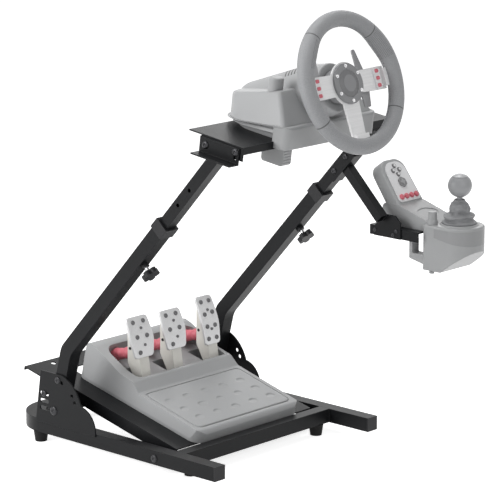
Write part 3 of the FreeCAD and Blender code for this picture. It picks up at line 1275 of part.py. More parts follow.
# Shifter housing: a deep rounded body in front, a deck over the plate and a leaning button tower
body_low = SHIFTER_X - SHIFTER_BODY_HALF
body_high = SHIFTER_X + SHIFTER_BODY_HALF
body = slab_xy([
    (body_low, SHIFTER_BODY_REAR, SHIFTER_RIM_ROUND),
    (body_low, SHIFTER_BODY_FRONT, SHIFTER_NOSE_R),
    (body_high, SHIFTER_BODY_FRONT, SHIFTER_NOSE_R),
    (body_high, SHIFTER_BODY_REAR, SHIFTER_RIM_ROUND),
], SHIFTER_BODY_BOTTOM, SHIFTER_DECK_Z)
rim_edges = [edge for edge in body.Edges if edge.BoundBox.ZMin > SHIFTER_DECK_Z - 1]
body = body.makeFillet(SHIFTER_RIM_EDGE, rim_edges)
toe = slab_yz([
    (SHIFTER_BODY_FRONT - 1, SHIFTER_BODY_BOTTOM - 1),
    (SHIFTER_BODY_FRONT + SHIFTER_TOE_RUN, SHIFTER_BODY_BOTTOM - 1),
    (SHIFTER_BODY_FRONT - 1, SHIFTER_BODY_BOTTOM + SHIFTER_TOE_RISE),
], 0, REACH)
body = body.cut(toe)
deck_front = SHIFTER_BODY_REAR - DECK_LAP
deck_rear = SHIFT_PLATE_REAR - GUSSET_STEP
deck = slab_yz([
    (deck_front, SHIFT_PLATE_TOP),
    (deck_rear, SHIFT_PLATE_TOP),
    (deck_rear - DECK_REAR_LEAN, TOWER_FOOT_Z, DECK_REAR_ROUND),
    (TOWER_FOOT_Y, TOWER_FOOT_Z, DECK_FOOT_ROUND),
    (deck_front, SHIFTER_DECK_Z),
], SHIFTER_X - TOWER_HALF, SHIFTER_X + TOWER_HALF)
deck_fall = math.degrees(math.atan2(TOWER_FOOT_Z - SHIFTER_DECK_Z, TOWER_FOOT_Y - deck_front))
oval = Part.Face(Part.Wire(Part.Ellipse(V(0, 0, 0), OVAL_LONG, OVAL_SHORT).toShape())).extrude(V(0, 0, REACH))
oval.translate(V(0, 0, -OVAL_DEPTH))
oval_y = (deck_front + TOWER_FOOT_Y) / 2
oval_z = (SHIFTER_DECK_Z + TOWER_FOOT_Z) / 2
deck = deck.cut(turned(oval, deck_fall, oval_y, oval_z, SHIFTER_X))
tower = slab_xy([
    (-TOWER_HALF, -TOWER_ROOT),
    (TOWER_HALF, -TOWER_ROOT),
    (TOWER_HALF - TOWER_TAPER, TOWER_HEIGHT, TOWER_ROUND),
    (TOWER_TAPER - TOWER_HALF, TOWER_HEIGHT, TOWER_ROUND),
], -TOWER_THICK, 0)
tower_edges = [edge for edge in tower.Edges if edge.BoundBox.YMax > 0 and edge.BoundBox.ZLength < 1]
tower = tower.makeFillet(TOWER_EDGE, tower_edges)
tower = turned(tower, 90 - TOWER_LEAN, TOWER_FOOT_Y, TOWER_FOOT_Z, SHIFTER_X)
tower = tower.cut(block(0, REACH, -REACH, REACH, -REACH, SHIFT_PLATE_TOP))
ring = revolved([
    (LEVER_WELL_R, -RING_RISE),
    (RING_R, -RING_RISE),
    (RING_R, 0),
    (RING_R - RING_RISE, RING_RISE, RING_EDGE),
    (BOOT_R + RING_LEDGE, RING_RISE),
    (BOOT_R + RING_LEDGE, 0),
    (LEVER_WELL_R, 0),
])
ring.translate(V(SHIFTER_X, LEVER_Y, SHIFTER_DECK_Z))
housing = joined([body, deck, tower, ring])
lever_well = rod_z(SHIFTER_X, LEVER_Y, SHIFTER_DECK_Z - LEVER_WELL_DEPTH, REACH, LEVER_WELL_R)
housing = housing.cut(lever_well)
boot_room = rod_z(SHIFTER_X, LEVER_Y, SHIFTER_DECK_Z, REACH, BOOT_R + FACE_GAP)
housing = housing.cut(boot_room)
gimbal_reach = LEVER_WELL_R + RING_RISE
gimbal_hole = rod_x(
    SHIFTER_X - gimbal_reach - 1, SHIFTER_X + gimbal_reach + 1, LEVER_Y, LEVER_PIVOT_Z, GIMBAL_R + PIN_GAP)
housing = housing.cut(gimbal_hole)
parts["shifter_housing"] = on_carrier(housing)


def on_console(shape):
    """Stands a shape on the console's face: local x right, y up the face, z out of it."""
    return on_carrier(turned(shape, 90 - TOWER_LEAN, TOWER_FOOT_Y, TOWER_FOOT_Z, SHIFTER_X))


console = slab_xy([
    (-CONSOLE_HALF, CONSOLE_FOOT, CONSOLE_CORNER),
    (CONSOLE_HALF, CONSOLE_FOOT, CONSOLE_CORNER),
    (CONSOLE_HALF - TOWER_TAPER, CONSOLE_LENGTH, CONSOLE_TOP_ROUND),
    (TOWER_TAPER - CONSOLE_HALF, CONSOLE_LENGTH, CONSOLE_TOP_ROUND),
], 0, CONSOLE_THICK)
parts["shifter_console"] = on_console(console)
button_top = CONSOLE_THICK + BUTTON_RISE
pad_outline = []
for side in range(PAD_SIDES):
    turn = 2 * math.pi * side / PAD_SIDES
    pad_outline.append((PAD_R * math.sin(turn), PAD_UP - PAD_R * math.cos(turn), PAD_CORNER))
pad = slab_xy(pad_outline, CONSOLE_THICK, button_top)
dark = [on_console(pad)]
for side_x, side_y in ((0, 1), (0, -1), (1, 0), (-1, 0)):
    dark.append(on_console(rod_z(
        side_x * DIAMOND_R, DIAMOND_UP + side_y * DIAMOND_R, CONSOLE_THICK, button_top, DIAMOND_BUTTON_R)))
parts["console_buttons"] = Part.makeCompound(dark)
red = []
for number in range(RED_COUNT):
    red_x = (number - (RED_COUNT - 1) / 2) * RED_PITCH
    red.append(on_console(rod_z(red_x, RED_UP, CONSOLE_THICK, button_top, RED_R)))
parts["console_red_buttons"] = Part.makeCompound(red)

# Clamps under the plate, each with a fluted knob over the deck and a screw end below the body
clamps = []
for jaw_x in (body_low + JAW_INSET, body_high - JAW_INSET - JAW_WIDTH):
    jaw_rear = SHIFTER_BODY_REAR + JAW_DEPTH
    clamps.append(on_carrier(slab_yz([
        (SHIFTER_BODY_REAR, JAW_LOW),
        (jaw_rear, JAW_LOW + JAW_LIP, SHEET_CORNER),
        (jaw_rear, shift_low),
        (jaw_rear - JAW_LIP, shift_low),
        (jaw_rear - JAW_LIP, JAW_HIGH, SHEET_CORNER),
        (SHIFTER_BODY_REAR, JAW_HIGH),
    ], jaw_x, jaw_x + JAW_WIDTH)))
screw_y = SHIFTER_BODY_REAR - SCREW_BACK
for screw_x in (body_low + SCREW_INSET, body_high - SCREW_INSET):
    knob = revolved([
        (0, 0),
        (SCREW_KNOB_R, 0),
        (SCREW_KNOB_R, SCREW_SKIRT_RISE, SCREW_EDGE),
        (SCREW_GRIP_R, SCREW_GRIP_RISE, SCREW_EDGE),
        (SCREW_TOP_R, SCREW_KNOB_RISE, SCREW_TOP_ROUND),
        (0, SCREW_KNOB_RISE),
    ])
    for flute in range(SCREW_FLUTES):
        turn = 2 * math.pi * flute / SCREW_FLUTES
        flute_x = SCREW_KNOB_R * math.cos(turn)
        flute_y = SCREW_KNOB_R * math.sin(turn)
        knob = knob.cut(rod_z(flute_x, flute_y, SCREW_GRIP_RISE, REACH, SCREW_FLUTE_R))
    knob.translate(V(screw_x, screw_y, SHIFTER_DECK_Z))
    clamps.append(on_carrier(knob).cut(parts["shifter_housing"]))
    screw_end = rod_z(screw_x, screw_y, SHIFTER_BODY_BOTTOM - SCREW_END_DROP, SHIFTER_BODY_BOTTOM, SCREW_END_R)
    clamps.append(on_carrier(screw_end))
parts["shifter_clamps"] = Part.makeCompound(clamps)

# Gear lever on a hidden cross: side pins in the housing, fore-and-aft pins in the lever
half_block = GIMBAL_BLOCK / 2
ear_in = half_block + FACE_GAP
ear_out = ear_in + LEVER_EAR
parts["lever_cross"] = on_carrier(joined([
    rod_x(SHIFTER_X - gimbal_reach, SHIFTER_X + gimbal_reach, LEVER_Y, LEVER_PIVOT_Z, GIMBAL_R),
    block(SHIFTER_X - half_block, SHIFTER_X + half_block, LEVER_Y - half_block, LEVER_Y + half_block,
          LEVER_PIVOT_Z - half_block, LEVER_PIVOT_Z + half_block),
    Part.makeCylinder(LEVER_PIN_R, 2 * ear_out, V(SHIFTER_X, LEVER_Y - ear_out, LEVER_PIVOT_Z), Y_AXIS),
]))
bridge = LEVER_PIVOT_Z + half_block + LEVER_BRIDGE
knob_ball = Part.makeSphere(LEVER_KNOB_R, V(SHIFTER_X, LEVER_Y, LEVER_KNOB_Z))
cap_r = math.sqrt(LEVER_KNOB_R ** 2 - LEVER_CAP_RISE ** 2)
cap_groove = Part.makeTorus(cap_r, LEVER_GROOVE_R, V(SHIFTER_X, LEVER_Y, LEVER_KNOB_Z + LEVER_CAP_RISE), Z_AXIS)
lever_pieces = [
    block(SHIFTER_X - LEVER_R, SHIFTER_X + LEVER_R, LEVER_Y - ear_out, LEVER_Y + ear_out,
          bridge, bridge + LEVER_EAR),
    rod_z(SHIFTER_X, LEVER_Y, bridge, LEVER_KNOB_Z, LEVER_R),
]
for end in (-1, 1):
    edges = sorted((LEVER_Y + end * ear_in, LEVER_Y + end * ear_out))
    lever_pieces.append(block(
        SHIFTER_X - LEVER_R, SHIFTER_X + LEVER_R, edges[0], edges[1], LEVER_PIVOT_Z - LEVER_R, bridge))
pin_hole = Part.makeCylinder(
    LEVER_PIN_R + PIN_GAP, 4 * ear_out, V(SHIFTER_X, LEVER_Y - 2 * ear_out, LEVER_PIVOT_Z), Y_AXIS)
lever = joined(lever_pieces).cut(pin_hole).cut(knob_ball)
parts["lever_shaft"] = on_carrier(lever)
parts["lever_knob"] = on_carrier(knob_ball.cut(cap_groove))

# Boot: two soft folds between the deck and the neck of the lever
boot_height = BOOT_TOP_Z - SHIFTER_DECK_Z - FACE_GAP
boot_profile = [(BOOT_R - 2 * BOOT_WALL, 0), (BOOT_R, 0)]
for radius_share, height_share, rounding in BOOT_FOLDS:
    boot_profile.append((BOOT_R * radius_share, boot_height * height_share, rounding))
boot_profile.append((BOOT_TOP_R, boot_height))
boot_profile.append((LEVER_R + FACE_GAP, boot_height))
boot = revolved(boot_profile)
boot.translate(V(SHIFTER_X, LEVER_Y, SHIFTER_DECK_Z + FACE_GAP))
parts["lever_boot"] = on_carrier(boot)

# The finished part stands with its origin on the floor, under the middle of its bounding box
whole = Part.makeCompound(list(parts.values())).optimalBoundingBox(False, False)
ORIGIN = V((whole.XMin + whole.XMax) / 2, (whole.YMin + whole.YMax) / 2, whole.ZMin)

os.makedirs("parts", exist_ok=True)
for name, shape in parts.items():
    shape.translate(ORIGIN * -1)
    shape.exportStep(os.path.join("parts", name + ".step"))
    print(name, len(shape.Solids), round(shape.Volume / 1000.0, 1), shape.isValid())
print("origin", ORIGIN)
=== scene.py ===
import math
import bmesh
import bpy
import numpy as np
from bpy.props import FloatProperty, FloatVectorProperty, IntProperty, PointerProperty
from bpy.types import Operator, Panel, PropertyGroup
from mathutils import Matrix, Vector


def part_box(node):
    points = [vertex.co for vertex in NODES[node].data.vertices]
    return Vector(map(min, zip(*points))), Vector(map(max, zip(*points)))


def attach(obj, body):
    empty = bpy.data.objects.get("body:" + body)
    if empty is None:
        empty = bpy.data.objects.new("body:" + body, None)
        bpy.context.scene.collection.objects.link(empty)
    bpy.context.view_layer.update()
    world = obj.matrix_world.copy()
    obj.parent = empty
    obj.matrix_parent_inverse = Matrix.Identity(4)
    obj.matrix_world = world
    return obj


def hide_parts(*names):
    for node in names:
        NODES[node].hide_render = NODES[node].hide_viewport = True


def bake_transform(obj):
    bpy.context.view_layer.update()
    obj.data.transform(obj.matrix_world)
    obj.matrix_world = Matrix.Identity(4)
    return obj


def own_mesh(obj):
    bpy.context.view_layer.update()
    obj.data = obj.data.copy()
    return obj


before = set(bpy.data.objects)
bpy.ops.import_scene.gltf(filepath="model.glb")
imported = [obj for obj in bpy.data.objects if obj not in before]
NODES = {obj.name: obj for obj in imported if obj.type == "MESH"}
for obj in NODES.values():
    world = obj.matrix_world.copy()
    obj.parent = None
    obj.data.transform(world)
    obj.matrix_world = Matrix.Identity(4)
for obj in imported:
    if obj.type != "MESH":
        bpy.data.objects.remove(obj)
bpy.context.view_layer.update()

bl_info = {
    "name": "Wheel stand dressing",
    "version": (1, 0, 0),
    "blender": (4, 5, 0),
    "location": "View3D > Sidebar > Wheel stand",
    "description": "Finishes and trim for a folding wheel stand with wheel, pedals and shifter",
    "category": "Object",
}

# The stand's axes, in millimetres: x from the middle plane, y from the rails' front ends, z from the floor
RAIL_LOW, RAIL_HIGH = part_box("base_tube")
STAND_AT = np.array([(RAIL_LOW[0] + RAIL_HIGH[0]) / 2, RAIL_LOW[1], 0.0])
MM = 1000.0
TURN = 2 * math.pi


def place(points):
    """Moves points of the stand's own axes, in millimetres, to the part's frame in metres."""
    return np.asarray(points, float) / MM + STAND_AT


def axes_at(origin, tilt):
    """An origin and three unit axes turned by tilt degrees about x: right, up the slope, out of the face."""
    turn = math.radians(tilt)
    right = np.array([1.0, 0.0, 0.0])
    up = np.array([0.0, math.cos(turn), math.sin(turn)])
    out = np.array([0.0, -math.sin(turn), math.cos(turn)])
    return np.array(origin, float), right, up, out


# Slopes of the carried units, in degrees, and their local axes, as in the solids
WHEEL_LEAN = 71.4
PLATE_LEAN = 7.5
TRAY_LEAN = 13.112
CONSOLE_LEAN = 53.5
LEG_LEAN = 42.4
TRAY_PIVOT_Y = 167.0
TRAY_PIVOT_Z = 37.4
WHEEL = axes_at((0.0, -139.0, 816.0), WHEEL_LEAN)
PLATE = axes_at((0.0, 0.0, 712.8), PLATE_LEAN)
TRAY = axes_at((0.0, TRAY_PIVOT_Y, TRAY_PIVOT_Z), TRAY_LEAN)
CONSOLE = axes_at((312.0, -38.37, 512.26), CONSOLE_LEAN)
LEG = axes_at((0.0, 141.79, 526.15), LEG_LEAN)
LEVER_AT = np.array([312.0, -166.37, 566.26])
PEDALS = ("clutch", "brake", "throttle")
PEDAL_X = (-84.96, 13.0, 123.6)
SIDES = (-1, 1)
# Vents of the hood: bars at even steps behind the wheel's plane, in millimetres, slanted in plan
VENT_COUNT = 5
VENT_FIRST = 118.0
VENT_PITCH = 8.5
VENT_SLANT = math.radians(24.0)
# Rim cover: thumb grips at two angles in degrees, seams at shares of the way round
GRIP_ANGLES = (33.0, 147.0)
GRIP_SPREAD = 17.0
RIM_SEAMS = (0.135, 0.363, 0.589, 0.911)


def local(axes, u, v, w):
    """Points at u right, v up and w out in a set of local axes, as an array of rows."""
    origin, right, up, out = axes
    u, v, w = np.broadcast_arrays(u, v, w)
    return origin + u[..., None] * right + v[..., None] * up + w[..., None] * out


class FinishSettings(PropertyGroup):
    """Colours of the finishes, linear."""
    powder_coat: FloatVectorProperty(
        name="Powder coat", description="Colour of the steel frame", subtype="COLOR", size=3,
        default=(0.010, 0.0105, 0.0115), min=0, max=1)
    housing: FloatVectorProperty(
        name="Housing", description="Moulded plastic of the controllers", subtype="COLOR", size=3,
        default=(0.35, 0.355, 0.36), min=0, max=1)
    leather: FloatVectorProperty(
        name="Leather", description="Rim cover of the steering wheel", subtype="COLOR", size=3,
        default=(0.31, 0.315, 0.325), min=0, max=1)
    spoke: FloatVectorProperty(
        name="Spokes", description="Brushed metal of the spokes", subtype="COLOR", size=3,
        default=(0.84, 0.84, 0.845), min=0, max=1)
    red: FloatVectorProperty(
        name="Red", description="Buttons and spring sleeves", subtype="COLOR", size=3,
        default=(0.66, 0.15, 0.19), min=0, max=1)
    backdrop: FloatVectorProperty(
        name="Backdrop", description="Floor and backdrop", subtype="COLOR", size=3,
        default=(0.92, 0.92, 0.92), min=0, max=1)


class WheelSettings(PropertyGroup):
    """Sizes of the steering wheel's cover and screws."""
    rim_radius: FloatProperty(
        name="Rim radius", description="From the wheel's centre to the middle of the rim", default=0.1285,
        min=0.1, max=0.2, subtype="DISTANCE", unit="LENGTH")
    rim_tube: FloatProperty(
        name="Rim tube", description="Radius of the rim's own section", default=0.0162, min=0.005, max=0.03,
        subtype="DISTANCE", unit="LENGTH")
    grip_swell: FloatProperty(
        name="Grip swell", description="How far the thumb grips stand out", default=0.0024, min=0, max=0.006,
        subtype="DISTANCE", unit="LENGTH")
    stitches: IntProperty(
        name="Stitches", description="Stitches round the inside of the rim", default=132, min=0)
    hub_screws: IntProperty(
        name="Hub screws", description="Screws round the hub disc", default=6, min=1)
    screw_circle: FloatProperty(
        name="Screw circle", description="Radius of the hub's screw circle", default=0.035,
        min=0.01, max=0.06, subtype="DISTANCE", unit="LENGTH")


class FastenerSettings(PropertyGroup):
    """Sizes of the frame's bolts and welds."""
    head_radius: FloatProperty(
        name="Head radius", description="Radius of a button head", default=0.008, min=0.003, max=0.015,
        subtype="DISTANCE", unit="LENGTH")
    head_rise: FloatProperty(
        name="Head rise", description="Height of a button head", default=0.003, min=0.001, max=0.008,
        subtype="DISTANCE", unit="LENGTH")
    weld_width: FloatProperty(
        name="Weld width", description="Width of a weld bead", default=0.0036, min=0.001, max=0.01,
        subtype="DISTANCE", unit="LENGTH")


class BootSettings(PropertyGroup):
    """Sizes of the soft pieces: the lever's boot and the pedals' spring sleeves."""
    wrinkle: FloatProperty(
        name="Wrinkle", description="Depth of the creases in the boot", default=0.001, min=0, max=0.003,
        subtype="DISTANCE", unit="LENGTH")
    sleeve_rings: IntProperty(
        name="Sleeve rings", description="Ribs round a spring sleeve", default=4, min=1, max=12)
    sleeve_rib: FloatProperty(
        name="Sleeve rib", description="Depth of a rib on a sleeve", default=0.0006, min=0, max=0.004,
        subtype="DISTANCE", unit="LENGTH")


def new_group(name, inputs, outputs):
    """An empty shader node group with the named sockets."""
    group = bpy.data.node_groups.new(name, "ShaderNodeTree")
    for label, kind, value in inputs:
        socket = group.interface.new_socket(label, in_out="INPUT", socket_type=kind)
        socket.default_value = value
    for label, kind in outputs:
        group.interface.new_socket(label, in_out="OUTPUT", socket_type=kind)
    entry = group.nodes.new("NodeGroupInput")
    leave = group.nodes.new("NodeGroupOutput")
    return group, entry, leave


def add(tree, kind, **settings):
    """A node of the given kind with its settings applied."""
    node = tree.nodes.new(kind)
    for key, value in settings.items():
        setattr(node, key, value)
    return node


def sum_of(tree, operation, first, second):
    """A Math node on two sockets or numbers, giving its output socket."""
    node = add(tree, "ShaderNodeMath", operation=operation)
    for slot, value in zip(node.inputs, (first, second)):
        if isinstance(value, (int, float)):
            slot.default_value = value
        else:
            tree.links.new(value, slot)
    return node.outputs[0]


COLOR_SOCKETS = [
    ("Color", "NodeSocketColor"), ("Roughness", "NodeSocketFloat"), ("Height", "NodeSocketFloat")]


def moulded_grain_group():
    """Fine cells of a spark-eroded mould: a Voronoi height, a slow cloud and paler edges, partly rubbed wear
    and partly a painted highlight.
    """
    group, entry, leave = new_group(
        "moulded_grain",
        [("Color", "NodeSocketColor", (0.4, 0.4, 0.4, 1)), ("Cell Scale", "NodeSocketFloat", 900.0),
         ("Cloud Scale", "NodeSocketFloat", 9.0), ("Cloud", "NodeSocketFloat", 0.12),
         ("Wear", "NodeSocketFloat", 0.25), ("Edge", "NodeSocketFloat", 0.0015),
         ("Roughness", "NodeSocketFloat", 0.5)],
        COLOR_SOCKETS)
    link = group.links.new
    coords = add(group, "ShaderNodeTexCoord")
    cells = add(group, "ShaderNodeTexVoronoi", feature="SMOOTH_F1")
    cloud = add(group, "ShaderNodeTexNoise")
    cloud.inputs["Detail"].default_value = 4.0
    shade = add(group, "ShaderNodeMapRange")
    shade.inputs["From Min"].default_value = 0.3
    shade.inputs["From Max"].default_value = 0.7
    shade.inputs["To Max"].default_value = 1.0
    scaled = add(group, "ShaderNodeVectorMath", operation="SCALE")
    link(coords.outputs["Object"], cells.inputs["Vector"])
    link(coords.outputs["Object"], cloud.inputs["Vector"])
    link(entry.outputs["Cell Scale"], cells.inputs["Scale"])
    link(entry.outputs["Cloud Scale"], cloud.inputs["Scale"])
    link(cloud.outputs["Fac"], shade.inputs["Value"])
    link(sum_of(group, "SUBTRACT", 1.0, entry.outputs["Cloud"]), shade.inputs["To Min"])
    # Edges: where the rounded normal leaves the true one, broken up by the cloud; paler there, partly rubbed
    # wear and partly a painted highlight
    corner = add(group, "ShaderNodeBevel", samples=4)
    link(entry.outputs["Edge"], corner.inputs["Radius"])
    true_side = add(group, "ShaderNodeNewGeometry")
    agree = add(group, "ShaderNodeVectorMath", operation="DOT_PRODUCT")
    link(corner.outputs["Normal"], agree.inputs[0])
    link(true_side.outputs["Normal"], agree.inputs[1])
    rubbed_and_sheen = sum_of(group, "SUBTRACT", 1.0, agree.outputs["Value"])
    edge_gain = 4.0
    rubbed_and_sheen = sum_of(group, "MULTIPLY", sum_of(group, "MULTIPLY", rubbed_and_sheen, edge_gain), cloud.outputs["Fac"])
    pale = sum_of(group, "MULTIPLY", sum_of(group, "MINIMUM", rubbed_and_sheen, 1.0), entry.outputs["Wear"])
    level = sum_of(group, "MULTIPLY", shade.outputs["Result"], sum_of(group, "ADD", 1.0, pale))
    link(entry.outputs["Color"], scaled.inputs[0])
    link(level, scaled.inputs["Scale"])
    gloss = sum_of(group, "MULTIPLY", entry.outputs["Roughness"], shade.outputs["Result"])
    link(scaled.outputs[0], leave.inputs["Color"])
    link(gloss, leave.inputs["Roughness"])
    link(cells.outputs["Distance"], leave.inputs["Height"])
    return group


def brushed_lines_group():
    """Brush marks: noise stretched a hundredfold along one axis, in colour, gloss and height."""
    group, entry, leave = new_group(
        "brushed_lines",
        [("Color", "NodeSocketColor", (0.6, 0.6, 0.6, 1)), ("Roughness", "NodeSocketFloat", 0.35),
         ("Stretch", "NodeSocketVector", (8.0, 900.0, 900.0))],
        COLOR_SOCKETS)
    link = group.links.new
    coords = add(group, "ShaderNodeTexCoord")
    stretch = add(group, "ShaderNodeVectorMath", operation="MULTIPLY")
    lines = add(group, "ShaderNodeTexNoise")
    lines.inputs["Scale"].default_value = 1.0
    lines.inputs["Detail"].default_value = 3.0
    shade = add(group, "ShaderNodeMapRange")
    shade.inputs["To Min"].default_value = 0.8
    shade.inputs["To Max"].default_value = 1.08
    scaled = add(group, "ShaderNodeVectorMath", operation="SCALE")
    link(coords.outputs["Object"], stretch.inputs[0])
    link(entry.outputs["Stretch"], stretch.inputs[1])
    link(stretch.outputs[0], lines.inputs["Vector"])
    link(lines.outputs["Fac"], shade.inputs["Value"])
    link(entry.outputs["Color"], scaled.inputs[0])
    link(shade.outputs["Result"], scaled.inputs["Scale"])
    gloss = sum_of(group, "MULTIPLY", entry.outputs["Roughness"], shade.outputs["Result"])
    link(scaled.outputs[0], leave.inputs["Color"])
    link(gloss, leave.inputs["Roughness"])
    link(lines.outputs["Fac"], leave.inputs["Height"])
    return group


def leather_grain_group():
    """Leather: pebbles from Voronoi cell edges over a slow noise, with painted shade darkening the creases
    between them.
    """
    group, entry, leave = new_group(
        "leather_grain",
        [("Color", "NodeSocketColor", (0.3, 0.3, 0.3, 1)), ("Roughness", "NodeSocketFloat", 0.55),
         ("Pebble Scale", "NodeSocketFloat", 420.0), ("Crease", "NodeSocketFloat", 0.2)],
        COLOR_SOCKETS)
    link = group.links.new
    coords = add(group, "ShaderNodeTexCoord")
    pebbles = add(group, "ShaderNodeTexVoronoi", feature="DISTANCE_TO_EDGE")
    waves = add(group, "ShaderNodeTexNoise")
    waves.inputs["Scale"].default_value = 28.0
    waves.inputs["Detail"].default_value = 5.0
    dome = add(group, "ShaderNodeMapRange", interpolation_type="SMOOTHSTEP")
    dome.inputs["From Max"].default_value = 0.25
    scaled = add(group, "ShaderNodeVectorMath", operation="SCALE")
    link(coords.outputs["Object"], pebbles.inputs["Vector"])
    link(coords.outputs["Object"], waves.inputs["Vector"])
    link(entry.outputs["Pebble Scale"], pebbles.inputs["Scale"])
    link(pebbles.outputs["Distance"], dome.inputs["Value"])
    wave_share = 0.8
    highest = 1.4
    wavy = sum_of(group, "MULTIPLY", waves.outputs["Fac"], wave_share)
    grain_height = sum_of(group, "ADD", dome.outputs["Result"], wavy)
    # Painted shade: the lower the grain, the darker the colour, as shade in the creases
    dark = sum_of(group, "MULTIPLY", sum_of(group, "SUBTRACT", highest, grain_height), entry.outputs["Crease"])
    level = sum_of(group, "SUBTRACT", 1.0, dark)
    link(entry.outputs["Color"], scaled.inputs[0])
    link(level, scaled.inputs["Scale"])
    link(scaled.outputs[0], leave.inputs["Color"])
    link(sum_of(group, "MULTIPLY", entry.outputs["Roughness"], level), leave.inputs["Roughness"])
    link(grain_height, leave.inputs["Height"])
    return group


GROUP_MAKERS = {
    "moulded_grain": moulded_grain_group,
    "brushed_lines": brushed_lines_group,
    "leather_grain": leather_grain_group,
}


def distance_to(tree, value, spot):
    """How far a socket's value is from a number, either way."""
    return sum_of(tree, "ABSOLUTE", sum_of(tree, "SUBTRACT", value, spot), 0.0)


def cell_way(tree, value, count):
    """Way from the middle of the cell that a value falls in, with count cells in the value's range of one."""
    share = sum_of(tree, "FRACT", sum_of(tree, "MULTIPLY", value, count), 0.0)
    return sum_of(tree, "SUBTRACT", share, 0.5)


def square_sum(tree, first, second):
    """The sum of the squares of two sockets."""
    squares = [sum_of(tree, "MULTIPLY", value, value) for value in (first, second)]
    return sum_of(tree, "ADD", *squares)


def all_of(tree, *tests):
    """The product of several masks."""
    product = tests[0]
    for test in tests[1:]:
        product = sum_of(tree, "MULTIPLY", product, test)
    return product


def rim_seams_group():
    """Cover joints and punched holes on the rim's UV map: lines across it, dots on the thumb grips."""
    group, entry, leave = new_group(
        "rim_seams", [("Line Width", "NodeSocketFloat", 0.0016)], [("Mask", "NodeSocketFloat")])
    link = group.links.new
    chart = add(group, "ShaderNodeUVMap", uv_map="rim_chart")
    split = add(group, "ShaderNodeSeparateXYZ")
    link(chart.outputs["UV"], split.inputs[0])
    around = split.outputs["X"]
    across = split.outputs["Y"]
    mask = None
    for seam in RIM_SEAMS:
        line = sum_of(group, "LESS_THAN", distance_to(group, around, seam), entry.outputs["Line Width"])
        mask = line if mask is None else sum_of(group, "MAXIMUM", mask, line)
    holes_around = 260.0
    holes_across = 32.0
    hole_square = 0.05
    cell_u = cell_way(group, around, holes_around)
    cell_v = cell_way(group, across, holes_across)
    dots = sum_of(group, "LESS_THAN", square_sum(group, cell_u, cell_v), hole_square)
    # Holes lie between the seams and the spokes, on the side that the palms hold
    rim_top = 0.25
    seam_side = 0.118
    spoke_side = 0.2
    palm = 0.42
    palm_reach = 0.2
    fold = distance_to(group, around, rim_top)
    dots = all_of(
        group,
        dots,
        sum_of(group, "GREATER_THAN", fold, seam_side),
        sum_of(group, "LESS_THAN", fold, spoke_side),
        sum_of(group, "LESS_THAN", distance_to(group, across, palm), palm_reach))
    link(sum_of(group, "MAXIMUM", mask, dots), leave.inputs["Mask"])
    return group


def way_along(tree, origin, axis):
    """Distance of the Object coordinates from an origin along a unit axis, as a socket."""
    coords = add(tree, "ShaderNodeTexCoord")
    offset = add(tree, "ShaderNodeVectorMath", operation="SUBTRACT")
    offset.inputs[1].default_value = tuple(origin)
    share = add(tree, "ShaderNodeVectorMath", operation="DOT_PRODUCT")
    share.inputs[1].default_value = tuple(axis)
    tree.links.new(coords.outputs["Object"], offset.inputs[0])
    tree.links.new(offset.outputs[0], share.inputs[0])
    return share.outputs["Value"]


def hood_slit_shade_group():
    """Vents over the motor barrel: slanted bars at even steps along its axis, in line with the cut slots,
    painted dark as shade inside slits.
    """
    group, entry, leave = new_group(
        "hood_slit_shade", [("Bar", "NodeSocketFloat", 0.2)], [("Mask", "NodeSocketFloat")])
    half_length = 0.036
    lowest = 0.03
    centre = place(WHEEL[0])
    sideways = way_along(group, centre, WHEEL[1])
    upward = way_along(group, centre, WHEEL[2])
    backward = way_along(group, centre, -WHEEL[3])
    slanted = sum_of(group, "SUBTRACT", backward, sum_of(group, "MULTIPLY", sideways, math.tan(VENT_SLANT)))
    number = sum_of(group, "DIVIDE", sum_of(group, "SUBTRACT", slanted, VENT_FIRST / MM), VENT_PITCH / MM)
    nearest = sum_of(group, "ROUND", number, 0.0)
    beside = sum_of(group, "ABSOLUTE", sum_of(group, "SUBTRACT", number, nearest), 0.0)
    mask = all_of(
        group,
        sum_of(group, "LESS_THAN", beside, entry.outputs["Bar"]),
        sum_of(group, "GREATER_THAN", nearest, -0.5),
        sum_of(group, "LESS_THAN", nearest, VENT_COUNT - 0.5),
        sum_of(group, "LESS_THAN", distance_to(group, sideways, 0.0), half_length),
        sum_of(group, "GREATER_THAN", upward, lowest))
    group.links.new(mask, leave.inputs["Mask"])
    return group


def nose_band_group():
    """Band round the shifter's nose: under the deck's edge, its lower edge falling towards the front."""
    group, entry, leave = new_group(
        "nose_band", [("Fall", "NodeSocketFloat", 0.165)], [("Mask", "NodeSocketFloat")])
    low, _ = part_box("shifter_housing")
    deck = low[2] + 0.096
    rear = low[1] + 0.109
    band_top = -0.006
    band_depth = 0.02
    band_start = 0.03
    height = way_along(group, (0, 0, deck), (0, 0, 1))
    ahead = way_along(group, (0, rear, 0), (0, -1, 0))
    depth = sum_of(group, "ADD", band_depth, sum_of(group, "MULTIPLY", ahead, entry.outputs["Fall"]))
    mask = all_of(
        group,
        sum_of(group, "LESS_THAN", height, band_top),
        sum_of(group, "GREATER_THAN", sum_of(group, "ADD", height, depth), 0.0),
        sum_of(group, "GREATER_THAN", ahead, band_start))
    group.links.new(mask, leave.inputs["Mask"])
    return group


def hub_dish_shade_group():
    """Painted shade in the hub's dish: a ring between two circles round the wheel's axis."""
    group, entry, leave = new_group(
        "hub_dish_shade", [("Inner", "NodeSocketFloat", 0.017), ("Outer", "NodeSocketFloat", 0.028)],
        [("Mask", "NodeSocketFloat")])
    centre = place(WHEEL[0])
    sideways = way_along(group, centre, WHEEL[1])
    upward = way_along(group, centre, WHEEL[2])
    reach = sum_of(group, "SQRT", square_sum(group, sideways, upward), 0.0)
    mask = all_of(
        group,
        sum_of(group, "GREATER_THAN", reach, entry.outputs["Inner"]),
        sum_of(group, "LESS_THAN", reach, entry.outputs["Outer"]))
    group.links.new(mask, leave.inputs["Mask"])
    return group


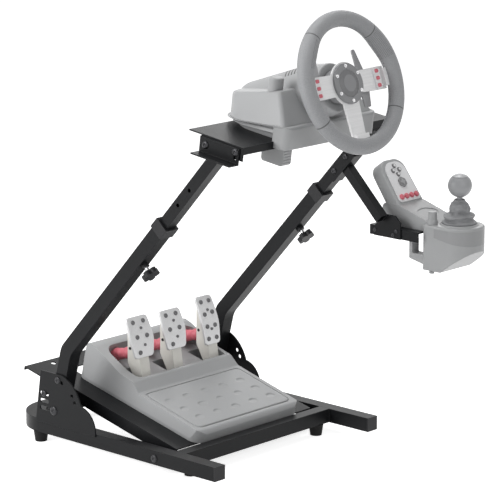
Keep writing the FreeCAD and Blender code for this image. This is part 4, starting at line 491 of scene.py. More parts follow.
def surface(name, group_name, color, roughness, bump, edge, metallic=0.0, shine=0.5, overlay=None,
            mark=0.35, **values):
    """A Principled material fed by a node group, with a small bump and edges rounded by edge metres.

    An overlay group's mask darkens the colour to the share mark and sinks the height.
    """
    group = bpy.data.node_groups.get(group_name) or GROUP_MAKERS[group_name]()
    material = bpy.data.materials.new(name)
    material.use_nodes = True
    tree = material.node_tree
    link = tree.links.new
    shader = tree.nodes["Principled BSDF"]
    shader.inputs["Metallic"].default_value = metallic
    shader.inputs["Specular IOR Level"].default_value = shine
    effect = add(tree, "ShaderNodeGroup", node_tree=group)
    effect.inputs["Color"].default_value = (*color, 1.0)
    effect.inputs["Roughness"].default_value = roughness
    for key, value in values.items():
        effect.inputs[key.replace("_", " ").title()].default_value = value
    tint = effect.outputs["Color"]
    height = effect.outputs["Height"]
    if overlay is not None:
        sink = 3.0
        marks = add(tree, "ShaderNodeGroup", node_tree=overlay)
        # Of a colour mix, inputs 6 and 7 are the two colours and output 2 is the result
        mix = add(tree, "ShaderNodeMix", data_type="RGBA")
        mix.inputs[7].default_value = (*(channel * mark for channel in color), 1.0)
        link(marks.outputs["Mask"], mix.inputs[0])
        link(tint, mix.inputs[6])
        tint = mix.outputs[2]
        height = sum_of(tree, "SUBTRACT", height, sum_of(tree, "MULTIPLY", marks.outputs["Mask"], sink))
    relief = add(tree, "ShaderNodeBump")
    relief.inputs["Strength"].default_value = 1.0
    relief.inputs["Distance"].default_value = bump
    link(tint, shader.inputs["Base Color"])
    link(effect.outputs["Roughness"], shader.inputs["Roughness"])
    link(height, relief.inputs["Height"])
    if edge > 0:
        corner = add(tree, "ShaderNodeBevel", samples=6)
        corner.inputs["Radius"].default_value = edge
        link(corner.outputs["Normal"], relief.inputs["Normal"])
    link(relief.outputs["Normal"], shader.inputs["Normal"])
    return material


def coat(material, *names):
    """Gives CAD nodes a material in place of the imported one."""
    for name in names:
        data = NODES[name].data
        data.materials.clear()
        data.materials.append(material)


def grid_faces(rows, columns, wrap_rows, wrap_columns):
    """Corner numbers of the quads between neighbouring rows and columns, closed where wrapped."""
    row = np.arange(rows if wrap_rows else rows - 1)[:, None]
    column = np.arange(columns if wrap_columns else columns - 1)[None, :]
    after = (column + 1) % columns
    first = row * columns
    second = (row + 1) % rows * columns
    return np.stack([first + column, first + after, second + after, second + column], -1).reshape(-1, 4)


def outward(points, faces):
    """The faces, turned round if the solid they close has a negative volume."""
    corners = points.reshape(-1, 3)[faces] - points.reshape(-1, 3).mean(0)
    first = np.cross(corners[:, 1] - corners[:, 0], corners[:, 2] - corners[:, 0])
    second = np.cross(corners[:, 2] - corners[:, 0], corners[:, 3] - corners[:, 0])
    volume = (corners[:, 0] * (first + second)).sum()
    return faces[:, ::-1] if volume < 0 else faces


def mesh_piece(name, points, faces, material, body=None):
    """A smooth mesh object with its poles merged, riding on a body."""
    mesh = bpy.data.meshes.new(name)
    mesh.from_pydata(points.reshape(-1, 3).tolist(), [], faces.tolist())
    shell = bmesh.new()
    shell.from_mesh(mesh)
    bmesh.ops.remove_doubles(shell, verts=shell.verts, dist=1e-6)
    shell.to_mesh(mesh)
    shell.free()
    mesh.polygons.foreach_set("use_smooth", np.ones(len(mesh.polygons), bool))
    mesh.materials.append(material)
    piece = bpy.data.objects.new(name, mesh)
    bpy.context.scene.collection.objects.link(piece)
    if body is not None:
        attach(piece, body)
    return piece


def grid_piece(name, points, material, body=None, wrap_rows=False, wrap_columns=True):
    """One surface through a grid of points, rows by columns, given in the part's frame."""
    faces = grid_faces(*points.shape[:2], wrap_rows, wrap_columns)
    return mesh_piece(name, points, outward(points, faces), material, body)


def pattern_piece(name, form, origins, frames, material, body):
    """Copies of one closed form: at each origin, its x, y and z run along the rows of that place's frame."""
    origins = np.asarray(origins, float)
    frames = np.asarray(frames, float)
    points = origins[:, None, None, :] + np.einsum("rci,kij->krcj", form, frames)
    faces = outward(form, grid_faces(*form.shape[:2], False, True))
    step = form.shape[0] * form.shape[1]
    turned = np.linalg.det(frames) < 0
    every = [faces[:, ::-1] if flip else faces for flip in turned]
    every = np.concatenate([own + step * number for number, own in enumerate(every)])
    return mesh_piece(name, place(points), every, material, body)


def lathe_form(profile, sides):
    """A turned form: rows of radius, height and how far the row is a hexagon, swept round the z axis."""
    profile = np.asarray(profile, float)
    turn = np.linspace(0, TURN, sides, endpoint=False)
    hexagon = math.cos(math.pi / 6) / np.cos(turn % (math.pi / 3) - math.pi / 6)
    radius = profile[:, :1] * (1 + profile[:, 2:] * (hexagon[None, :] - 1))
    height = profile[:, 1:2] + 0 * radius
    return np.stack([radius * np.cos(turn), radius * np.sin(turn), height], -1)


def pad_form(half_x, half_y, rise, power=0.5, rows=7, sides=24):
    """A low pad: a superellipse plan that shrinks to its top along a quarter of a superellipse."""
    turn = np.linspace(0, TURN, sides, endpoint=False)[None, :]
    climb = np.linspace(0, math.pi / 2, rows)[:, None]
    plan_x = half_x * np.sign(np.cos(turn)) * np.abs(np.cos(turn)) ** power
    plan_y = half_y * np.sign(np.sin(turn)) * np.abs(np.sin(turn)) ** power
    shrink = np.cos(climb) ** power
    lift = rise * np.sin(climb) ** power
    upper = np.stack([shrink * plan_x, shrink * plan_y, lift + 0 * turn], -1)
    return np.concatenate([np.zeros((1, sides, 3)), upper])


def bead_form(long, wide, high, rows=6, sides=8):
    """An ellipsoid with few faces, for stitches and weld ripples."""
    turn = np.linspace(0, TURN, sides, endpoint=False)[None, :]
    climb = np.linspace(-math.pi / 2, math.pi / 2, rows)[:, None]
    return np.stack([
        long * np.cos(climb) * np.cos(turn), wide * np.cos(climb) * np.sin(turn),
        high * np.sin(climb) + 0 * turn], -1)


def button_bolt(radius, rise, shank_r, shank, nut_r=0.0, nut=0.0):
    """A bolt along z: a domed head with a six-sided socket over z = 0, a shank below and a nut at its end."""
    socket = radius * 0.42
    tip = 0.01
    rows = [
        (0, rise * 0.35, 1), (socket, rise * 0.35, 1), (socket, rise * 0.96, 1), (socket * 1.15, rise, 0.4),
        (radius * 0.62, rise * 0.97, 0), (radius * 0.84, rise * 0.78, 0), (radius * 0.97, rise * 0.42, 0),
        (radius, rise * 0.15, 0), (radius * 0.985, 0, 0), (shank_r, 0, 0)]
    if nut > 0:
        rows += [(shank_r, nut - shank, 0), (nut_r * 0.94, nut - shank, 1), (nut_r, nut * 0.85 - shank, 1),
                 (nut_r, nut * 0.15 - shank, 1), (nut_r * 0.94, -shank, 1), (shank_r, -shank, 0)]
    rows += [(shank_r, -shank - tip, 0), (0, -shank - tip, 0)]
    return lathe_form(rows, 36)


def facing(side):
    """A frame whose z runs along x, to the right for side 1 and to the left for side -1."""
    return [[0, side, 0], [0, 0, 1], [side, 0, 0]]


class WHEELSTAND_OT_frame_finish(Operator):
    """Powder coat, plastic, rubber and steel of the folding frame"""
    bl_idname = "wheelstand.frame_finish"
    bl_label = "Frame finish"

    def execute(self, context):
        colours = context.scene.stand_finish
        # The powder coat's edges are made much paler: a painted highlight along the edges, with some rubbed
        # wear
        powder = surface(
            "powder_coat", "moulded_grain", tuple(colours.powder_coat), roughness=0.4, bump=0.00004,
            edge=0.0014, shine=0.12, cell_scale=1600.0, cloud_scale=7.0, cloud=0.15, wear=0.9)
        coat(powder, "base_tube", "front_crossbar", "right_gusset", "left_gusset", "right_upright",
             "left_upright", "right_riser", "left_riser", "plate_brackets", "shifter_clip", "shifter_arm",
             "shifter_gusset", "shifter_plate", "wheel_plate", "pedal_tray")
        plastic = surface(
            "black_plastic", "moulded_grain", (0.012, 0.012, 0.0135), roughness=0.5, bump=0.00003,
            edge=0.0012, shine=0.25)
        coat(plastic, "end_caps", "guide_collars", "height_knobs")
        rubber = surface(
            "foot_rubber", "moulded_grain", (0.012, 0.012, 0.012), roughness=0.75, bump=0.00006,
            edge=0.001, shine=0.2)
        coat(rubber, "rubber_feet")
        steel = surface(
            "bolt_black", "brushed_lines", (0.035, 0.035, 0.038), roughness=0.3, bump=0.00001,
            edge=0.0005, metallic=0.7)
        coat(steel, "pivot_bolts", "tray_pivots", "slot_bolts", "plate_bolts", "tray_bolts", "pedal_pins",
             "lever_cross")
        return {"FINISHED"}


class WHEELSTAND_OT_controller_finish(Operator):
    """Moulded plastic, metal and buttons of the controllers"""
    bl_idname = "wheelstand.controller_finish"
    bl_label = "Controller finish"

    def execute(self, context):
        colours = context.scene.stand_finish
        housing = surface(
            "housing_grey", "moulded_grain", tuple(colours.housing), roughness=0.45, bump=0.00003,
            edge=0.002, cell_scale=1100.0, cloud=0.05, wear=0.12)
        coat(housing, "base_lower_shell", "base_apron", "base_clamps", "pedal_unit", "shifter_clamps")
        # The hood's vent bars are painted dark: painted shade of slit openings
        hood = surface(
            "hood_grey", "moulded_grain", tuple(colours.housing), roughness=0.42, bump=0.00003,
            edge=0.002, overlay=hood_slit_shade_group(), mark=0.12, cell_scale=1100.0, cloud=0.05, wear=0.12)
        coat(hood, "base_upper_shell")
        nose = surface(
            "nose_grey", "moulded_grain", tuple(colours.housing), roughness=0.4, bump=0.00004,
            edge=0.002, overlay=nose_band_group(), mark=0.8, cell_scale=1100.0, cloud=0.05, wear=0.12)
        coat(nose, "shifter_housing")
        knob = surface(
            "knob_grey", "moulded_grain", (0.32, 0.325, 0.335), roughness=0.38, bump=0.00002,
            edge=0.001, cloud=0.05)
        coat(knob, "lever_knob", "lever_shaft")
        spoke = surface(
            "spoke_metal", "brushed_lines", tuple(colours.spoke), roughness=0.4, bump=0.00001,
            edge=0.0008, metallic=0.12)
        coat(spoke, "wheel_spokes")
        paddle = surface(
            "paddle_metal", "brushed_lines", (0.36, 0.36, 0.37), roughness=0.4, bump=0.00001,
            edge=0.0008, metallic=0.3)
        coat(paddle, "right_paddle", "left_paddle")
        face = surface(
            "pedal_metal", "brushed_lines", (0.76, 0.76, 0.765), roughness=0.38, bump=0.00001,
            edge=0.0008, metallic=0.3, stretch=(900.0, 900.0, 10.0))
        coat(face, "clutch_face", "brake_face", "throttle_face")
        # The hub's dish ring is painted darker: painted shade in the recess
        hub = surface(
            "hub_grey", "moulded_grain", (0.25, 0.252, 0.26), roughness=0.45, bump=0.00003,
            edge=0.001, overlay=hub_dish_shade_group(), mark=0.7)
        coat(hub, "hub_disc", "wheel_boss")
        panel = surface(
            "panel_white", "moulded_grain", (0.78, 0.78, 0.79), roughness=0.45, bump=0.00002,
            edge=0.0008, cloud=0.04, wear=0.0)
        coat(panel, "button_strips", "shifter_console")
        red = surface(
            "cap_red", "moulded_grain", tuple(colours.red), roughness=0.4, bump=0.00002, edge=0.0008)
        coat(red, "wheel_buttons", "console_red_buttons")
        dark = surface(
            "button_grey", "moulded_grain", (0.24, 0.24, 0.245), roughness=0.45, bump=0.00002, edge=0.0008)
        coat(dark, "console_buttons")
        cream = surface(
            "arm_cream", "moulded_grain", (0.76, 0.745, 0.695), roughness=0.5, bump=0.00003,
            edge=0.001, cloud=0.06, wear=0.1)
        coat(cream, "clutch_arm", "brake_arm", "throttle_arm")
        return {"FINISHED"}


class WHEELSTAND_OT_frame_bolts(Operator):
    """Button-head bolts of the frame, in place of the plain ones, and the threads of the clamp knobs"""
    bl_idname = "wheelstand.frame_bolts"
    bl_label = "Frame bolts"

    def execute(self, context):
        sizes = context.scene.stand_fasteners
        head = sizes.head_radius * MM
        rise = sizes.head_rise * MM
        steel = bpy.data.materials["bolt_black"]
        frames = [facing(side) for side in SIDES]

        # Fold pivots, with a nut inside each upright, the lock bolts over them and the bolts in the slots
        gusset_x = 253.0
        fold_at = (460.5, 80.4)
        lock_at = (446.9, 149.6)
        slot_at = (489.0, 112.4)
        pivot = button_bolt(head * 1.25, rise, shank_r=5.0, shank=36.5, nut_r=9.5, nut=3.0)
        spots = [(side * gusset_x, *fold_at) for side in SIDES]
        piece = pattern_piece("fold_bolts", pivot, spots, frames, steel, "base")
        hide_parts("pivot_bolts")
        lock = button_bolt(head * 0.95, rise, shank_r=4.0, shank=2.8)
        spots = [(side * gusset_x, *lock_at) for side in SIDES]
        pattern_piece("lock_bolts", lock, spots, frames, steel, "base")
        spots = [(side * gusset_x, *slot_at) for side in SIDES]
        piece = pattern_piece("slot_heads", lock, spots, frames, steel, "base")
        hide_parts("slot_bolts")

        # Tray pivots: head outside the rail, spacer between rail and tray, nut inside the tray's flange
        pin_r = 4.0
        nut_r = 7.0
        spacer_r = 8.0
        socket_r = 3.2
        bevel = 0.4
        rail_out = 50.0
        rail_in = 20.0
        flange_out = 5.4
        flange_in = 2.4
        nut_end = -2.0
        rows = [
            (0, rail_out + 1.0, 1), (socket_r, rail_out + 1.0, 1), (socket_r, rail_out + 2.8, 1),
            (pin_r, rail_out + 3.0, 0.4), (5.8, rail_out + 2.9, 0), (7.4, rail_out + 2.2, 0),
            (spacer_r, rail_out + 0.6, 0), (7.9, rail_out, 0), (pin_r, rail_out, 0),
            (pin_r, rail_in, 0), (spacer_r - bevel, rail_in, 0), (spacer_r, rail_in - 0.5, 0),
            (spacer_r, flange_out + 0.5, 0), (spacer_r - bevel, flange_out, 0), (pin_r, flange_out, 0),
            (pin_r, flange_in, 0), (nut_r - bevel, flange_in, 1), (nut_r, flange_in - bevel, 1),
            (nut_r, nut_end + bevel, 1), (nut_r - bevel, nut_end, 1), (pin_r, nut_end, 0),
            (pin_r, nut_end - 0.5, 0), (0, nut_end - 0.5, 0)]
        pivot_x = 200.0
        spots = [(side * pivot_x, TRAY_PIVOT_Y, TRAY_PIVOT_Z) for side in SIDES]
        piece = pattern_piece("tray_pivot_bolts", lathe_form(rows, 36), spots, frames, steel, "base")
        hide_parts("tray_pivots")

        # Plate bolts, two a side, with the tilt pivot behind
        bracket_x = 225.6
        bolt_spots = ((41.0, -19.0), (-39.0, -13.0))
        tilt = button_bolt(head, rise, shank_r=4.0, shank=8.5, nut_r=6.5, nut=2.4)
        spots = np.array([(side * bracket_x, *spot) for spot in bolt_spots for side in SIDES])
        piece = pattern_piece("tilt_bolts", tilt, local(PLATE, *spots.T), frames * 2, steel, "wheel_mount")
        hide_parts("plate_bolts")

        # Bolts of the shifter's arm: two through the riser, three in the gusset
        riser_side = np.array([222.0, 0.0, 0.0])
        along = np.array([64.0, 110.8])
        through = button_bolt(6.5, 3.2, shank_r=4.2, shank=32.0, nut_r=6.5, nut=4.0)
        origins = LEG[0] + riser_side + along[:, None] * LEG[3]
        pattern_piece("arm_bolts", through, origins, [facing(-1)] * 2, steel, "risers")
        arm_face = 246.0
        short = button_bolt(4.6, 2.2, shank_r=2.5, shank=2.4)
        spots = [(arm_face, 5.1, 457.7), (arm_face, -51.9, 462.6), (arm_face, -44.0, 453.7)]
        pattern_piece("gusset_bolts", short, spots, [facing(-1)] * 3, steel, "risers")

        # Screw threads between the clamp knobs and their nuts: a saw-tooth radius along the stud
        root_r = 4.05
        tooth = 0.45
        start = 22.0
        length = 12.0
        steps = 20
        turns = np.arange(steps + 1)
        rows = np.stack([root_r + tooth * (turns % 2), start + length * turns / steps, 0 * turns], -1)
        rows = np.concatenate([[(0, start, 0)], rows, [(0, start + length, 0)]])
        lean = math.radians(LEG_LEAN)
        out = np.array([0, -math.cos(lean), -math.sin(lean)])
        stud_frame = [[1, 0, 0], np.cross(out, [1, 0, 0]), out]
        stud_x = 234.5
        stud_fall = 112.0
        origins = [LEG[0] + np.array([side * stud_x, 0, 0]) - stud_fall * LEG[3] for side in SIDES]
        thread = surface(
            "thread_steel", "brushed_lines", (0.62, 0.62, 0.63), roughness=0.3, bump=0.00001, edge=0.0,
            metallic=1.0)
        piece = pattern_piece(
            "knob_threads", lathe_form(rows, 20), origins, [stud_frame] * 2, thread, "uprights")
        return {"FINISHED"}


class WHEELSTAND_OT_welds(Operator):
    """Weld beads at the crossbar and the gussets"""
    bl_idname = "wheelstand.welds"
    bl_label = "Welds"

    def execute(self, context):
        width = context.scene.stand_fasteners.weld_width * MM / 2
        ripple = bead_form(width, width * 0.8, width * 0.75)
        crossbar_end = 219.6
        crossbar_edges = (106.0, 133.0)
        gusset_out = 250.6
        gusset_foot = 47.8
        climb = np.linspace(27.0, 51.0, 13)
        run = np.linspace(392.0, 512.0, 49)
        spots = []
        frames = []
        for side in SIDES:
            for seam_y in crossbar_edges:
                spots += [(side * crossbar_end, seam_y, z) for z in climb]
                frames += [[[0, 1, 0], [1, 0, 0], [0, 0, 1]]] * len(climb)
            spots += [(side * gusset_out, y, gusset_foot) for y in run]
            frames += [[[0, 0, 1], [1, 0, 0], [0, 1, 0]]] * len(run)
        piece = pattern_piece(
            "weld_beads", ripple, spots, frames, bpy.data.materials["powder_coat"], "base")
        return {"FINISHED"}


class WHEELSTAND_OT_rim_cover(Operator):
    """Leather cover of the rim, with its seams, holes and stitches"""
    bl_idname = "wheelstand.rim_cover"
    bl_label = "Rim cover"

    def execute(self, context):
        sizes = context.scene.stand_wheel
        middle = sizes.rim_radius * MM
        tube = sizes.rim_tube * MM
        around = 288
        across = 48
        angle = np.linspace(0, TURN, around, endpoint=False)[:, None]
        turn = np.linspace(0, TURN, across, endpoint=False)[None, :]
        swell = self.swell(np.degrees(angle), sizes.grip_swell * MM)
        # A circle of radius tube + swell, carried round the wheel, its outside kept on one circle
        reach = middle - swell + (tube + swell) * np.cos(turn)
        points = local(WHEEL, reach * np.cos(angle), reach * np.sin(angle), (tube + swell) * np.sin(turn))
        colour = tuple(context.scene.stand_finish.leather)
        leather = surface(
            "rim_leather", "leather_grain", colour, roughness=0.58, bump=0.00016, edge=0.0,
            overlay=rim_seams_group(), pebble_scale=420.0, crease=0.16)
        points = place(points)
        faces = grid_faces(around, across, True, True)
        turned = outward(points, faces)
        mesh = bpy.data.meshes.new("rim_cover")
        mesh.from_pydata(points.reshape(-1, 3).tolist(), [], turned.tolist())
        row = np.repeat(np.arange(around), across)
        column = np.tile(np.arange(across), around)
        steps = np.array([(0, 0), (0, 1), (1, 1), (1, 0)])
        chart = np.stack(
            [(row[:, None] + steps[:, 0]) / around, (column[:, None] + steps[:, 1]) / across], -1)
        if turned is not faces:
            chart = chart[:, ::-1]
        layer = mesh.uv_layers.new(name="rim_chart")
        layer.data.foreach_set("uv", chart.astype(np.float32).ravel())
        mesh.polygons.foreach_set("use_smooth", np.ones(len(mesh.polygons), bool))
        mesh.materials.append(leather)
        cover = bpy.data.objects.new("rim_cover", mesh)
        context.scene.collection.objects.link(cover)
        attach(cover, "steering_wheel")
        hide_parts("wheel_rim")

        # Slanted stitches on the inner edge, between the three spokes
        spoke_clear = 12.0
        slant = 0.5
        behind = -2.0
        place_angle = np.linspace(0, TURN, sizes.stitches, endpoint=False)
        degrees = np.degrees(place_angle)
        clear = np.ones(len(degrees), bool)
        for spoke in (0.0, 180.0, 270.0, 360.0):
            clear &= np.abs(degrees - spoke) > spoke_clear
        place_angle = place_angle[clear]
        swell = self.swell(np.degrees(place_angle), sizes.grip_swell * MM)
        inside = middle - tube - 2 * swell
        spots = local(WHEEL, inside * np.cos(place_angle), inside * np.sin(place_angle), behind)
        _, right, up, out = WHEEL
        way_in = -np.cos(place_angle)[:, None] * right - np.sin(place_angle)[:, None] * up
        way_on = -np.sin(place_angle)[:, None] * right + np.cos(place_angle)[:, None] * up
        length_way = math.cos(slant) * out + math.sin(slant) * way_on
        side_way = np.cross(way_in, length_way)
        frames = np.stack([length_way, side_way, way_in], 1)
        thread = surface(
            "stitch_thread", "leather_grain", (0.20, 0.205, 0.215), roughness=0.7, bump=0.00004, edge=0.0,
            pebble_scale=1800.0)
        stitch = bead_form(long=2.1, wide=0.55, high=0.5)
        piece = pattern_piece("rim_stitches", stitch, spots, frames, thread, "steering_wheel")
        return {"FINISHED"}

    def swell(self, degrees, rise):
        """Thumb grips: two bell curves over the angle, at the upper left and the upper right."""
        return rise * sum(np.exp(-((degrees - grip) / GRIP_SPREAD) ** 2) for grip in GRIP_ANGLES)


class WHEELSTAND_OT_wheel_trim(Operator):
    """Hub screws and the rounded buttons of the wheel"""
    bl_idname = "wheelstand.wheel_trim"
    bl_label = "Wheel trim"

    def execute(self, context):
        sizes = context.scene.stand_wheel
        _, right, up, out = WHEEL
        facing_out = [right, up, out]
        bright = surface(
            "screw_bright", "brushed_lines", (0.86, 0.86, 0.87), roughness=0.3, bump=0.00001, edge=0.0,
            metallic=0.8)
        turn = math.pi / 2 + TURN * np.arange(sizes.hub_screws) / sizes.hub_screws
        circle_u = sizes.screw_circle * MM * np.cos(turn)
        circle_v = sizes.screw_circle * MM * np.sin(turn)
        frames = [facing_out] * sizes.hub_screws
        # A screw: a six-sided socket in a low round head, standing on the hub's face
        hub_face = -6.1
        head_r = 3.8
        socket_r = 2.3
        socket_floor = 0.3
        rows = [
            (0, socket_floor, 1), (socket_r, socket_floor, 1), (socket_r, 1.7, 1), (2.6, 1.9, 0.3),
            (3.1, 1.8, 0), (3.6, 1.3, 0), (head_r, 0.4, 0), (head_r, 0, 0), (0, 0, 0)]
        spots = local(WHEEL, circle_u, circle_v, hub_face)
        piece = pattern_piece("hub_screws", lathe_form(rows, 36), spots, frames, bright, "steering_wheel")
        # Dark pads on the floors of the screws' sockets: painted shade
        floor_r = 1.9
        spots = local(WHEEL, circle_u, circle_v, hub_face + 0.2)
        piece = pattern_piece(
            "hub_socket_shade", pad_form(floor_r, floor_r, 0.4, power=1.0), spots, frames,
            bpy.data.materials["button_grey"], "steering_wheel")

        # Three rounded buttons on each strip
        strip_x = 88.5
        strip_face = -8.0
        pitch = 14.5
        places = np.array([(side * strip_x, step * pitch) for side in SIDES for step in (-1, 0, 1)])
        spots = local(WHEEL, places[:, 0], places[:, 1], strip_face)
        piece = pattern_piece(
            "strip_buttons", pad_form(half_x=5.0, half_y=3.8, rise=2.0), spots, [facing_out] * len(spots),
            bpy.data.materials["cap_red"], "steering_wheel")
        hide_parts("wheel_buttons")
        return {"FINISHED"}


class WHEELSTAND_OT_base_trim(Operator):
    """Dark pads on the vents' floors as painted shade, and gripping ribs of the table clamps"""
    bl_idname = "wheelstand.base_trim"
    bl_label = "Base trim"

    def execute(self, context):
        _, right, up, out = WHEEL
        # Dark pads on the floors of the vent slots: painted shade
        dark = surface(
            "vent_shade", "moulded_grain", (0.03, 0.03, 0.032), roughness=0.7, bump=0.00003, edge=0.0)
        floor_v = 53.0
        spots = local(WHEEL, 0.0, floor_v, -VENT_FIRST - VENT_PITCH * np.arange(VENT_COUNT))
        along = math.cos(VENT_SLANT) * right - math.sin(VENT_SLANT) * out
        across = math.sin(VENT_SLANT) * right + math.cos(VENT_SLANT) * out
        piece = pattern_piece(
            "vent_shade_floors", pad_form(half_x=14.6, half_y=1.45, rise=0.5, power=0.3), spots,
            [[along, -across, up]] * VENT_COUNT, dark, "wheel_mount")

        _, plate_x, plate_v, plate_w = PLATE
        clamp_x = 113.0
        clamp_front = -76.0
        rib_low = -42.0
        rib_pitch = 6.0
        rib_count = 5
        ribs = [(side * clamp_x, rib_low + rib_pitch * row) for side in SIDES for row in range(rib_count)]
        ribs = np.array(ribs)
        spots = local(PLATE, ribs[:, 0], clamp_front, ribs[:, 1])
        piece = pattern_piece(
            "clamp_ribs", pad_form(half_x=10.5, half_y=1.6, rise=1.2), spots,
            [[plate_x, plate_w, -plate_v]] * len(ribs), bpy.data.materials["housing_grey"], "wheel_mount")
        return {"FINISHED"}


class WHEELSTAND_OT_pedal_trim(Operator):
    """Rubber studs on the pedal faces, pins in their arms and the red spring sleeves"""
    bl_idname = "wheelstand.pedal_trim"
    bl_label = "Pedal trim"

    def execute(self, context):
        sizes = context.scene.stand_boot
        rubber = surface(
            "stud_rubber", "moulded_grain", (0.15, 0.15, 0.155), roughness=0.6, bump=0.00004, edge=0.0,
            cloud=0.15)
        steel = bpy.data.materials["bolt_black"]
        red = surface(
            "sleeve_red", "moulded_grain", tuple(context.scene.stand_finish.red), roughness=0.5,
            bump=0.00003, edge=0.0, cell_scale=700.0, cloud=0.2)
        # Studs: shares of the face's half width and of its length, and 1 for a large stud
        short = [
            (-0.5, 0.86, 1), (0.5, 0.86, 1), (0.1, 0.70, 0), (-0.45, 0.50, 1), (0.5, 0.50, 1),
            (0.15, 0.29, 0), (-0.4, 0.13, 1)]
        long = [
            (-0.5, 0.88, 1), (0.5, 0.88, 1), (0.0, 0.70, 0), (-0.5, 0.62, 1), (0.5, 0.64, 1),
            (-0.5, 0.37, 1), (0.5, 0.37, 1), (0.0, 0.31, 0), (-0.5, 0.12, 1), (0.5, 0.12, 1)]
        # A stud's section: a low ring with a shallow dish in its top, in shares of its radius
        ring = [
            (0, 1.75, 0), (0.40, 1.75, 0), (0.55, 1.95, 0), (0.72, 2.25, 0), (0.90, 2.2, 0), (1.02, 1.8, 0),
            (1.06, 0.9, 0), (1.10, 0.0, 0), (0, 0.0, 0)]
        large_r = 4.6
        small_r = 3.0
        face_y = 356.0
        face_lean = 72.5
        bow_r = 215.0
        widths = (60.0, 60.0, 48.0)
        lengths = (89.0, 86.0, 107.0)
        bottoms = (183.0, 183.0, 171.0)
        layouts = (short, short, long)
        # Pin through the arm, and the ends of the sleeve along and above the tray
        pin = button_bolt(3.4, 1.6, shank_r=2.2, shank=30.2, nut_r=3.4, nut=1.6)
        pin_side = 13.5
        pin_at = (387.0, 199.0)
        sleeve_start = (257.5, 92.3)
        sleeve_end = (303.5, 67.8)
        neck_r = 10.5
        flare = 3.6
        collar_rise = 2.6
        collar_at = 0.2
        collar_spread = 0.07
        closing = 400
        for name, pedal_x, width, length, face_z, layout in zip(
                PEDALS, PEDAL_X, widths, lengths, bottoms, layouts):
            _, right, up, out = face = axes_at((pedal_x, face_y, face_z), face_lean)
            layout = np.array(layout)
            # Studs stand on the bent face: their height and their lean follow its circle
            lean = np.arcsin((layout[:, 1] - 0.5) * length / bow_r)
            bow = length ** 2 / (8 * bow_r) - bow_r * (1 - np.cos(lean))
            spots = local(face, layout[:, 0] * width / 2, layout[:, 1] * length, bow)
            wide = np.where(layout[:, 2] > 0, large_r, small_r)[:, None]
            cosine = np.cos(lean)[:, None]
            sine = np.sin(lean)[:, None]
            frames = np.stack(
                [right * wide, (up * cosine - out * sine) * wide, up * sine + out * cosine], 1)
            piece = pattern_piece(name + "_studs", lathe_form(ring, 28), spots, frames, rubber, name)

            spot = (pedal_x - pin_side, *pin_at)
            pattern_piece(name + "_pin", pin, [spot], [facing(-1)], steel, name)

            # Sleeve: a bell that falls from the arm to the back of the well, with a collar and low ribs
            rise = np.linspace(0, 1, 73)[:, None]
            turn = np.linspace(0, TURN, 48, endpoint=False)[None, :]
            start = local(TRAY, pedal_x, *sleeve_start)
            end = local(TRAY, pedal_x, *sleeve_end)
            axis = (end - start) / np.linalg.norm(end - start)
            side = np.cross([1.0, 0.0, 0.0], axis)
            taper = neck_r + flare * rise ** 1.5
            ribs = sizes.sleeve_rib * MM * np.sin(TURN * sizes.sleeve_rings * rise) * rise
            collar = collar_rise * np.exp(-((rise - collar_at) / collar_spread) ** 2)
            radius = (taper + ribs + collar) * np.minimum(1, closing * rise * (1 - rise)) + 0 * turn
            points = start + (end - start) * rise[..., None] + radius[..., None] * (
                np.cos(turn)[..., None] * np.array([1.0, 0.0, 0.0]) + np.sin(turn)[..., None] * side)
            sleeve = grid_piece(name + "_sleeve", place(points), red)
            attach(sleeve, "tray")
            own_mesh(sleeve)
            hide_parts(name + "_spring")
        return {"FINISHED"}


